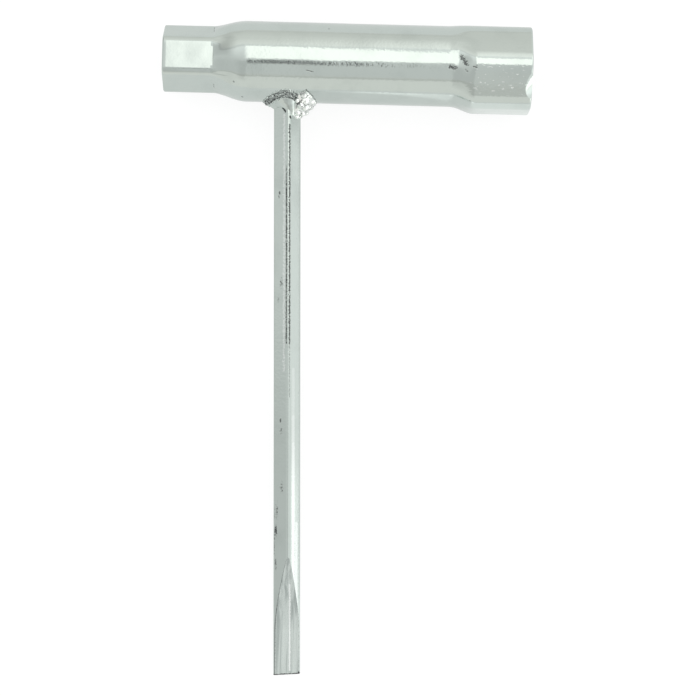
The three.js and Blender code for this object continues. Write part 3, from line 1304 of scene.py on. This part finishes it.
@dataclass
class WeldPass:
    """One weld pass round part of the bar: layers of metal with rows of drops fused into the first."""

    name: str
    node: str
    layers: tuple[Fillet, ...]
    rows: tuple[DropRow, ...]
    scale_width: float
    scale_depth: float
    speckle: float
    own_scale: float
    line_shift: float
    toe_line_darkness: float
    seed: int
    blur: int = 2
    fade: float = 1.3 * MM
    line_end: float = 0.0
    line_half: float = 0.6 * MM
    hollow_depth: float = 0.016 * MM
    hollow_start: float = 0.3
    painted_hollow_shade: float = 0.66
    hollow_blur: int = 8
    voxel: float = 0.11 * MM
    threshold: float = 0.3
    drop_shape: Place = (0.8, 1.25)
    jitter: float = 0.55
    uneven: float = 0.05 * MM
    uneven_waves: float = 500.0

    def _layers(self, bar: DriverBar, tube: SocketTube) -> bpy.types.Object:
        """An object with the layers' closed shapes."""
        work = bmesh.new()
        for layer in self.layers:
            layer.add_to(work, bar, tube)
        mesh = bpy.data.meshes.new(self.name)
        work.to_mesh(mesh)
        work.free()
        return link(self.name + "_layers", mesh)

    def _drops(self, bar: DriverBar, tube: SocketTube) -> bpy.types.Object:
        """Points along the first layer, one for each drop, with the drop's radius."""
        points: list[Point] = []
        sizes: list[float] = []
        for row in self.rows:
            inward = row.sunk * row.radius * math.sqrt(0.5)
            for i in range(row.count):
                angle = math.radians(row.first + row.pitch * i)
                reach, height = self.layers[0].surface(bar, tube, angle, row.place)
                reach -= inward
                points.append((reach * math.cos(angle), height + inward, reach * math.sin(angle)))
                sizes.append(row.radius)
        host = wire(self.name + "_drops", points, [])
        host.data.attributes.new("drop_size", "FLOAT", "POINT").data.foreach_set("value", sizes)
        return host

    def _tree(self, layers: bpy.types.Object, material: bpy.types.Material) -> tuple[GeometryGraph, Signal]:
        """The rule of the weld: uneven drops fused with the layers into one skin.

        Args:
            layers: The plain layers.
            material: The weld's finish.

        Returns:
            The tree and its geometry.
        """
        graph = GeometryGraph(
            self.name,
            {
                "Layers": layers,
                "Jitter": self.jitter,
                "Voxel": self.voxel,
                "Uneven": self.uneven,
                "Blur": self.blur,
                "Seed": self.seed,
                "Material": material,
            },
        )
        vectors, numbers = {"data_type": "FLOAT_VECTOR"}, {"data_type": "FLOAT"}
        size = graph.add("GeometryNodeInputNamedAttribute", numbers, {"Name": "drop_size"})
        ways = {0: (-1.0, -1.0, -1.0), 1: (1.0, 1.0, 1.0), "Seed": graph.size("Seed")}
        way = graph.add("FunctionNodeRandomValue", vectors, ways)
        moved = graph.shift(graph.source, graph.scaled(way, size * graph.size("Jitter")))
        points = graph.add("GeometryNodeMeshToPoints", inputs={"Mesh": moved})
        least, most = self.drop_shape
        shapes = {0: (least, least, least), 1: (most, most, most), "Seed": graph.size("Seed") + 1}
        shape = graph.scaled(graph.add("FunctionNodeRandomValue", vectors, shapes), size)
        ball = graph.add("GeometryNodeMeshIcoSphere", inputs={"Radius": 1.0, "Subdivisions": 3})
        laid = {"Points": points, "Instance": ball, "Scale": shape}
        drops = graph.add("GeometryNodeInstanceOnPoints", inputs=laid)
        real = graph.add("GeometryNodeRealizeInstances", inputs={"Geometry": drops})
        plain = {"Object": graph.size("Layers")}
        base = graph.add("GeometryNodeObjectInfo", inputs=plain, output="Geometry")
        both = graph.add("GeometryNodeJoinGeometry", inputs={"Geometry": [real, base]})
        voxel = graph.size("Voxel")
        voxels = {"Mesh": both, "Voxel Size": voxel, "Density": 1.0, "Interior Band Width": voxel * 2}
        fog = graph.add("GeometryNodeMeshToVolume", {"resolution_mode": "VOXEL_SIZE"}, voxels)
        skin = graph.add("GeometryNodeVolumeToMesh", inputs={"Volume": fog, "Threshold": self.threshold})
        position = graph.add("GeometryNodeInputPosition")
        blurred = {"Value": position, "Iterations": graph.size("Blur")}
        smooth = graph.place(skin, graph.add("GeometryNodeBlurAttribute", vectors, blurred))
        normal = graph.add("GeometryNodeInputNormal")
        wider = {"Value": position, "Iterations": self.hollow_blur}
        away = graph.vector("SUBTRACT", graph.add("GeometryNodeBlurAttribute", vectors, wider), position)
        depth = graph.vector("DOT_PRODUCT", away, normal, output="Value")
        kept = {"Geometry": smooth, "Name": "hollow", "Value": depth}
        skin = graph.add("GeometryNodeStoreNamedAttribute", {**numbers, "domain": "POINT"}, kept)
        swell = (graph.cloud(position, self.uneven_waves) - NOISE_MIDDLE) * 2 * graph.size("Uneven")
        return graph, graph.shift(skin, graph.scaled(normal, swell))

    def scale(self, bar: DriverBar, tube: SocketTube, spots: np.ndarray) -> np.ndarray:
        """Darkening at points: a black line above the last layer, and speckles of burnt scale out past the
        first.

        Args:
            bar: The bar the pass runs round.
            tube: The tube it lies on.
            spots: Points in the wrench's own coordinates.

        Returns:
            The darkness at each point.
        """
        angle = np.arctan2(spots[:, 2], spots[:, 0])
        around = (np.degrees(angle) - self.layers[0].first) % 360
        here = around < self.layers[0].last - self.layers[0].first - self.line_end
        reach = np.hypot(spots[:, 0], spots[:, 2])
        beyond = reach - self.layers[-1].toe(bar, tube, angle) - self.line_shift
        left = self.layers[0].toe(bar, tube, angle) + self.scale_width - reach
        line = self.toe_line_darkness * np.clip(1 - np.abs(beyond) / self.line_half, 0, 1)
        speckles = np.clip(left / self.fade, 0, 1) * np.clip(1 + beyond / self.line_half, 0, 1)
        off_tube = (np.hypot(spots[:, 1], spots[:, 2]) - tube.radius) / self.scale_depth
        near = np.clip(2 * (1 - off_tube), 0, 1) * (off_tube > -1)
        return np.maximum(line, self.speckle * speckles) * near * here * (spots[:, 1] < 0)

    def build(
        self, bar: DriverBar, tube: SocketTube, finish: WeldMetal, tool: ToolFrame
    ) -> bpy.types.Object:
        """Make the pass.

        Args:
            bar: The bar it runs round.
            tube: The tube it lies on.
            finish: The weld's metal.
            tool: Where the wrench lies.

        Returns:
            The piece.
        """
        layers = self._layers(bar, tube)
        graph, geometry = self._tree(layers, finish.material(tool))
        mesh = graph.bake(geometry, self._drops(bar, tube))
        bpy.data.objects.remove(layers)
        mesh.transform(bar.leaning())
        # Painted shade: the weld's hollows are darkened through the soot attribute.
        hollow = values_of(mesh, "hollow") / self.hollow_depth - self.hollow_start
        painted_crease_shade = np.clip(hollow, 0, 1) * self.painted_hollow_shade
        scale = self.own_scale * self.scale(bar, tube, points_of(mesh))
        keep(mesh, "soot", np.maximum(scale, painted_crease_shade))
        return finish_piece(self.name, mesh, tool, crease=60)


def points_of(mesh: bpy.types.Mesh) -> np.ndarray:
    """The mesh's points, one in each row."""
    spots = np.empty(len(mesh.vertices) * 3)
    mesh.vertices.foreach_get("co", spots)
    return spots.reshape(-1, 3)


def values_of(mesh: bpy.types.Mesh, name: str) -> np.ndarray:
    """The numbers that a mesh keeps for its points."""
    values = np.empty(len(mesh.vertices))
    mesh.attributes[name].data.foreach_get("value", values)
    return values


def keep(mesh: bpy.types.Mesh, name: str, values: np.ndarray) -> None:
    """Keep a number for each point on the mesh."""
    mesh.attributes.new(name, "FLOAT", "POINT").data.foreach_set("value", values)


@dataclass(frozen=True)
class Studio:
    """Pale floor, soft light all round with one broad soft lamp, and the camera.

    Directions of light are in degrees, by tilt towards the tube's far side and swing towards its large end.
    A pair of numbers is a ramp's two ends.
    """

    image_side: int = 696
    sensor: float = 36.0
    metres_per_pixel: float = 0.2991 * MM
    distance: float = 0.7
    roll: float = 1.49
    aim_right: float = 0.24 * MM
    aim_down: float = 84.96 * MM
    floor_half: float = 1.5
    floor_colour: float = 0.25
    floor_glow: float = 0.82
    floor_mirror_glow: float = 0.64
    floor_right_glow: float = 0.82
    floor_bright_glow: float = 1.1
    floor_slant: float = 0.3
    right_start: Place = (0.012, 0.022)
    right_top: Place = (0.07, 0.08)
    right_bottom: Place = (0.08, 0.11)
    bright_sides: tuple[Place, Place] = ((0.025, 0.031), (0.038, 0.046))
    bright_ends: tuple[Place, Place] = ((0.025, 0.05), (0.10, 0.13))
    room_light: float = 0.95
    lamp_level: float = 1.6
    lamp_bottom: Place = (0.5, 3.5)
    lamp_top: Place = (38.0, 41.0)
    lamp_sides: tuple[Place, Place] = ((-9.0, -1.5), (32.0, 40.0))
    lamp_step: Place = (-2.0, 3.0)
    lamp_lowered: float = 8.0
    gap_middle: Place = (-1.75, -7.0)
    gap_half: Place = (1.35, 6.8)
    gap_slant: float = 1.5
    gap_slant_from: float = -1.4
    gap_edge: Place = (0.1, 1.5)
    warm: Colour = (1.015, 1.0, 0.975)
    warm_tilt: Place = (38.0, 48.0)

    def camera(self, tool: ToolFrame, tube: SocketTube) -> None:
        """Set the camera square to the wrench's front."""
        data = bpy.data.cameras.new("camera")
        data.sensor_width = self.sensor
        data.lens = self.sensor * self.distance / (self.metres_per_pixel * self.image_side)
        made = bpy.data.objects.new("camera", data)
        bpy.context.scene.collection.objects.link(made)
        turn = Matrix.Rotation(math.radians(self.roll), 4, "Z")
        aim = Matrix.Translation((tube.bar_offset, 0, 0)) @ turn
        aim = aim @ Matrix.Translation((self.aim_right, -self.aim_down, self.distance))
        made.matrix_world = tool.matrix @ aim
        bpy.context.scene.camera = made

    def floor(self) -> bpy.types.Object:
        """The pale floor, white to the camera, which keeps the wrench's shadow; to mirrors it glows,
        brighter to the right of the bar and in a band beside its lower half.
        """
        half = self.floor_half
        corners = [(-half, -half, 0.0), (half, -half, 0.0), (half, half, 0.0), (-half, half, 0.0)]
        mesh = bpy.data.meshes.new("floor")
        mesh.from_pydata(corners, [], [(0, 1, 2, 3)])
        made = bpy.data.materials.new("pale_floor")
        made.use_nodes = True
        graph = Graph(made.node_tree)
        camera = graph.add("ShaderNodeLightPath", output="Is Camera Ray")
        mirrored = camera.other("Is Glossy Ray").larger(camera.other("Is Transmission Ray"))
        right, up, _ = graph.split(graph.add("ShaderNodeTexCoord", output="Object"))
        down = -up
        aslant = right - up * self.floor_slant
        to_right = aslant.rise(*self.right_start) * (1.0 - up.rise(*self.right_top))
        to_right = to_right * (1.0 - down.rise(*self.right_bottom))
        to_right = to_right * (self.floor_right_glow - self.floor_mirror_glow)
        bright = aslant.band(*self.bright_sides) * down.band(*self.bright_ends)
        mirror_glow = (to_right + self.floor_mirror_glow).toward(self.floor_bright_glow, bright)
        glow = (camera * self.floor_glow).larger(mirrored * mirror_glow)
        grey = (self.floor_colour, self.floor_colour, self.floor_colour)
        matt = graph.add("ShaderNodeBsdfDiffuse", inputs={"Color": solid(grey)})
        light = graph.add("ShaderNodeEmission", inputs={"Strength": glow})
        both = graph.add("ShaderNodeAddShader", inputs={0: matt, 1: light})
        graph.add("ShaderNodeOutputMaterial", inputs={"Surface": both})
        mesh.materials.append(made)
        return link("floor", mesh)

    def light(self, tool: ToolFrame) -> None:
        """Light from all round: even on matt surfaces, and a lamp and a grey room to mirrors."""
        scene = bpy.context.scene
        scene.view_settings.view_transform = "Standard"
        world = bpy.data.worlds.new("studio")
        world.use_nodes = True
        world.cycles.sampling_method = "NONE"
        scene.world = world
        graph = Graph(world.node_tree)
        seen = graph.add("ShaderNodeTexCoord", output="Generated")
        turned = {"Vector": seen, "Rotation": tool.settings()["Rotation"]}
        x, y, z = graph.split(graph.add("ShaderNodeMapping", inputs=turned))
        tilt = y.angle_to(z) * math.degrees(1)
        swing = x.angle_to((y * y + z * z).sqrt()) * math.degrees(1)
        room = self._room(graph, tilt, swing)
        lowered = tilt + swing.rise(*self.lamp_step) * self.lamp_lowered
        lamp = tilt.rise(*self.lamp_bottom) * (1.0 - lowered.rise(*self.lamp_top))
        lamp = lamp * swing.band(*self.lamp_sides)
        across = (swing - self.gap_middle[0]) / self.gap_half[0]
        slanted = tilt - self.gap_middle[1] + (swing - self.gap_slant_from) * self.gap_slant
        up = slanted / self.gap_half[1]
        gap = 1.0 - (across * across + up * up).rise(*self.gap_edge)
        level = room.toward(self.lamp_level, lamp) * (1.0 - gap)
        path = graph.add("ShaderNodeLightPath", output="Is Camera Ray")
        mirrored = path.other("Is Glossy Ray").larger(path.other("Is Transmission Ray"))
        strength = level.toward(self.room_light, 1.0 - mirrored).toward(1.0, path)
        warm = lamp.larger(abs(tilt).rise(*self.warm_tilt)) * mirrored
        colour = graph.mix(warm, solid(WHITE), solid(self.warm))
        glow = graph.add("ShaderNodeBackground", inputs={"Color": colour, "Strength": strength})
        graph.add("ShaderNodeOutputWorld", inputs={"Surface": glow})

    @staticmethod
    def _room(graph: Graph, tilt: Signal, swing: Signal) -> Signal:
        """How bright the room looks in a mirror: levels by tilt, and its walls' shares by swing and tilt.

        Args:
            graph: The world's nodes.
            tilt: The direction's tilt.
            swing: The direction's swing.

        Returns:
            The brightness.
        """
        levels = (
            (-180, 0.85),
            (-90, 0.92),
            (-51, 0.91),
            (-49, 0.69),
            (-46, 0.69),
            (-44, 0.77),
            (-15, 0.78),
            (0, 0.84),
            (36, 1.10),
            (40, 0.96),
            (44, 1.16),
            (54, 1.09),
            (75, 0.86),
            (88, 0.81),
            (90, 0.75),
            (92, 0.82),
            (180, 0.85),
        )
        full, half = 360, 2.0
        stops = [((angle + full / 2) / full, level / half) for angle, level in levels]
        ramp = graph.add("ShaderNodeValToRGB", {"stops": stops}, {"Fac": (tilt + full / 2) / full})
        to_left, down = -swing, -tilt
        above = tilt.rise(-5.0, 40.0)
        beneath = down.rise(0.0, 14.0)
        far_beneath = down.rise(0.0, 30.0)
        near_wall = to_left.rise(20.0, 38.0)
        far_wall = to_left.rise(50.0, 70.0)
        end_wall = to_left.rise(80.0, 86.0)
        corner = to_left.band((2.5, 5.0), (15.0, 32.0)) * down.band((0.0, 10.0), (55.0, 70.0))
        ledge = tilt.band((34.0, 40.0), (60.0, 75.0)) * (swing.rise(-3.0, 4.0) - 0.5)
        right_wall = swing.band((14.0, 38.0), (62.0, 80.0))
        left = 1.0 - near_wall * (0.05 + above * 0.33) + far_wall * (0.05 - beneath * 0.09)
        left = left * (1.0 - corner * 0.14) * (1.0 - end_wall * 0.45)
        right = 1.0 + right_wall * (0.3 + far_beneath * 0.6)
        return ramp * half * left * right * (1.0 + ledge * 0.22)


WELD_PITS = (
    mark((-0.8, -14.05, 2.95), (-0.1, -15.0, 3.45), 0.42),
    mark((1.4, -16.5, 3.6), (1.6, -16.8, 3.5), 0.5),
)


def driver_bar() -> DriverBar:
    """The bar, with the smudges on its left face."""
    return DriverBar(
        smudges=(
            Smudge(-2.0 * MM, 66 * MM, 1.3 * MM, 4.5 * MM, 0.62),
            Smudge(-2.8 * MM, 71 * MM, 1.0 * MM, 3.5 * MM, 0.6),
            Smudge(-2.0 * MM, 110 * MM, 1.2 * MM, 3.0 * MM, 0.66),
            Smudge(-1.8 * MM, 127 * MM, 1.4 * MM, 6.0 * MM, 0.62),
            Smudge(-3.1 * MM, 134 * MM, 1.2 * MM, 7.0 * MM, 0.66),
            Smudge(-3.4 * MM, 140 * MM, 1.0 * MM, 4.0 * MM, 0.85),
            Smudge(-3.4 * MM, 150 * MM, 0.9 * MM, 7.0 * MM, 0.66),
        ),
    )


def weld_passes() -> tuple[WeldPass, WeldPass]:
    """The flat pass on the small socket's side and the lumpy one on the large socket's side."""
    skirt = Fillet(50, 300, along_tube=3.4 * MM, wrap=43, along_bar=2.3 * MM, along_bar_front=1.2 * MM)
    sheet = Fillet(
        50,
        290,
        along_tube=1.3 * MM,
        wrap=27,
        along_bar=1.9 * MM,
        along_bar_front=2.1 * MM,
        lap=2.6 * MM,
        lap_blend=84,
        crown=0.18 * MM,
        smooth=32,
    )
    small_pass = WeldPass(
        name="weld_pass_small_side",
        node="weld_bead_small_side",
        layers=(skirt, sheet),
        rows=(
            DropRow(place=0.03, first=54, pitch=4.6, count=50, radius=0.32 * MM, sunk=0.35),
            DropRow(place=0.16, first=52, pitch=5.0, count=46, radius=0.40 * MM, sunk=0.45),
            DropRow(place=0.32, first=55, pitch=5.4, count=42, radius=0.42 * MM, sunk=0.5),
            DropRow(place=0.50, first=55, pitch=6.0, count=38, radius=0.40 * MM, sunk=0.5),
        ),
        scale_width=0.6 * MM,
        scale_depth=1.7 * MM,
        speckle=0.64,
        own_scale=0.9,
        line_shift=0.1 * MM,
        toe_line_darkness=0.85,
        seed=11,
    )
    bead = Fillet(
        -75,
        62,
        along_tube=4.7 * MM,
        wrap=52,
        along_bar=4.6 * MM,
        along_bar_front=4.8 * MM,
        taper=10,
        round_out=0.06,
        crown=0.3 * MM,
    )
    large_pass = WeldPass(
        name="weld_pass_large_side",
        node="weld_bead_large_side",
        layers=(bead,),
        rows=(
            DropRow(place=0.05, first=58, pitch=-11.5, count=11, radius=0.5 * MM, sunk=0.5),
            DropRow(place=0.18, first=52, pitch=-104, count=2, radius=1.15 * MM, sunk=0.6),
            DropRow(place=0.28, first=38, pitch=-76, count=2, radius=1.5 * MM, sunk=0.66),
            DropRow(place=0.40, first=60, pitch=-120, count=2, radius=0.8 * MM, sunk=0.4),
            DropRow(place=0.56, first=46, pitch=-92, count=2, radius=1.35 * MM, sunk=0.5),
            DropRow(place=0.48, first=29, pitch=-58, count=2, radius=1.4 * MM, sunk=0.6),
            DropRow(place=0.82, first=40, pitch=-80, count=2, radius=1.0 * MM, sunk=0.55),
            DropRow(place=0.95, first=22, pitch=-22, count=3, radius=0.9 * MM, sunk=0.6),
            DropRow(place=0.12, first=22, pitch=-22, count=3, radius=1.1 * MM, sunk=0.7),
            DropRow(place=0.34, first=13, pitch=-13, count=3, radius=1.2 * MM, sunk=0.6),
            DropRow(place=0.66, first=9, pitch=-18, count=2, radius=1.2 * MM, sunk=0.66),
        ),
        scale_width=0.9 * MM,
        scale_depth=0.5 * MM,
        speckle=0.3,
        own_scale=0.2,
        line_shift=0.35 * MM,
        toe_line_darkness=0.7,
        seed=5,
        jitter=0.2,
        uneven=0.03 * MM,
        blur=3,
        line_end=7,
    )
    return small_pass, large_pass


def zinc_on_tube() -> ZincPlating:
    """The tube's plating, with its nicks and die marks."""
    marks = (
        mark((-13.1, -11.15, 4.3), (-13.0, -11.15, 4.3), 0.4),
        mark((12.2, 9.3, 7.5), (12.35, 9.3, 7.5), 0.3, 0.6),
        mark((5.9, -3.5, 11.5), (7.9, -3.9, 11.35), 0.22, 0.7),
        mark((48.3, -1.5, 11.95), (49.8, -1.8, 12.05), 0.6, 0.75, 4.0),
        mark((51.5, 1.6, 12.2), (53.0, -0.7, 12.7), 0.65, 0.8, 4.0),
        mark((52.8, -2.3, 12.6), (53.3, -2.8, 12.6), 0.45, 0.5),
        mark((55.0, -1.4, 13.2), (56.0, -1.6, 13.2), 0.3, 0.7),
        mark((54.4, -10.6, 8.2), (55.1, -10.7, 8.2), 0.4, 0.8),
        mark((-15.5, -7.1, 9.05), (-15.4, -7.3, 8.95), 0.3, 0.6),
        mark((-21.9, 9.4, 1.9), (-21.8, 7.7, 4.8), 0.3, 0.5),
        mark((-21.7, -7.7, 5.0), (-21.7, -8.6, 3.5), 0.3, 0.5),
    )
    return ZincPlating("zinc_on_tube", marks=marks)


def zinc_on_bar(bar: DriverBar) -> ZincPlating:
    """The bar's plating, with its nicks, the dark seams beside its ridge, a faint painted dark reflection
    along its right corner, and painted highlights on its faces.
    """
    marks = (
        mark((-1.25, -39.0, 2.05), (-1.2, -39.4, 2.05), 0.4, 0.8),
        mark((-1.4, -40.2, 1.9), (-1.4, -40.5, 1.9), 0.3, 0.7),
        mark((0.75, -106.7, 2.35), (0.75, -107.4, 2.35), 0.38, 0.8),
        mark((-0.25, -133.0, 0.8), (-0.1, -137.5, 0.8), 0.3, 0.5),
        mark((0.0, -142.0, 0.8), (0.1, -147.0, 0.8), 0.35, 0.6),
        bar.line_beside_ridge(-0.62, 31, 41, 0.2, 0.7),
        bar.line_beside_ridge(-0.60, 36, 66, 0.25, 1.0),
        bar.line_beside_ridge(-0.64, 64, 84, 0.23, 1.0),
        bar.line_beside_ridge(0.36, 19, 84, 0.28, 0.95),
        bar.line_beside_ridge(0.34, 80, 100, 0.2, 0.45),
        bar.line_beside_ridge(0.0, 16, 80, 0.35, 0.1),
        # Painted dark reflection: a faint dark line along the bar's right corner.
        bar.line_beside_ridge(3.75, 20, 160, 0.45, 0.1),
    )
    # Painted highlights: bands of lighter zinc on the bar's faces.
    painted_highlights = (
        bar.line_beside_ridge(-1.15, 16, 92, 0.45, 0.6),
        bar.line_beside_ridge(1.6, 92, 160, 0.95, 0.3, 1.0),
        bar.line_beside_ridge(1.6, 106, 160, 0.95, 0.55, 1.0),
        bar.line_beside_ridge(1.65, 114, 160, 0.95, 0.8, 1.0),
        bar.line_beside_ridge(2.7, 138, 162, 0.9, 0.6, 1.0),
    )
    return ZincPlating("zinc_on_bar", marks=marks + WELD_PITS, painted_highlights=painted_highlights, lines_along=Axis.BAR)


def ground_blade() -> GroundSteel:
    """The blade's ground facets, with a painted highlight line along their right edge."""
    # Painted highlight: a line of lighter zinc along the facets' right edge.
    painted_highlights = (
        mark((4.78, -156.0, 2.04), (4.88, -160.6, 1.27), 0.34),
        mark((4.88, -160.6, 1.27), (4.98, -165.1, 0.7), 0.34),
        mark((4.98, -165.1, 0.7), (5.09, -169.6, 0.44), 0.34),
        mark((5.09, -169.6, 0.44), (5.4, -181.6, 0.44), 0.34),
    )
    return GroundSteel("ground_blade", painted_highlights=painted_highlights)


def weld_metals() -> tuple[WeldMetal, WeldMetal]:
    """The metal of the two passes: dull with pits, and one tinted near white as a painted highlight, with
    painted shade along the creases between its lumps.
    """
    # Painted shade along the creases between the large pass's lumps, and one pit.
    painted_crease_shade = (
        mark((4.77, -11.71, 6.04), (4.04, -12.68, 5.47), 0.34, 0.75, 3.0),
        mark((4.04, -12.68, 5.47), (3.33, -12.94, 4.96), 0.36, 0.75, 3.0),
        mark((3.33, -12.94, 4.96), (2.98, -14.05, 4.13), 0.28, 0.5, 3.0),
        mark((4.81, -13.70, 5.17), (4.90, -13.75, 5.10), 0.32, 0.7),
        mark((7.91, -12.72, 2.27), (7.05, -14.12, 1.75), 0.24, 0.65, 3.0),
        mark((7.05, -14.12, 1.75), (5.99, -14.99, 1.25), 0.24, 0.65, 3.0),
        mark((5.99, -14.99, 1.25), (4.58, -16.48, 0.78), 0.24, 0.6, 3.0),
        mark((4.67, -15.64, 1.75), (6.57, -14.23, 1.56), 0.22, 0.45, 3.0),
        mark((4.60, -10.00, 7.30), (5.52, -9.71, 7.73), 0.55, 0.6, 5.0),
    )
    dull = WeldMetal("dull_weld", marks=WELD_PITS)
    # Painted highlight: the large pass's metal is tinted near white, a lit copy of the same weld metal.
    painted_bright_tint, painted_bright_cloud_tint = (0.88, 0.92, 0.89), (0.69, 0.74, 0.71)
    return dull, WeldMetal("weld_painted_bright", tint=painted_bright_tint, dull_tint=painted_bright_cloud_tint, marks=painted_crease_shade)


def main() -> None:
    """Build the wrench's pieces in order, then the floor, the light and the camera."""
    logging.basicConfig(level=logging.INFO, format="%(name)s: %(message)s")
    tube = SocketTube()
    bar = driver_bar()
    passes = weld_passes()
    tool = ToolFrame.from_mounts(frame["record"]["mounts"], tube)
    report(tube.build(zinc_on_tube(), tool, bar, passes), Slot.ZINC, "socket_tube")
    report(bar.build(zinc_on_bar(bar), ground_blade(), tool), Slot.ZINC, "driver_bar")
    for weld, metal in zip(passes, weld_metals()):
        report(weld.build(bar, tube, metal, tool), Slot.WELD, weld.node)
    studio = Studio()
    studio.floor()
    studio.light(tool)
    studio.camera(tool, tube)


if __name__ == "__main__":
    main()
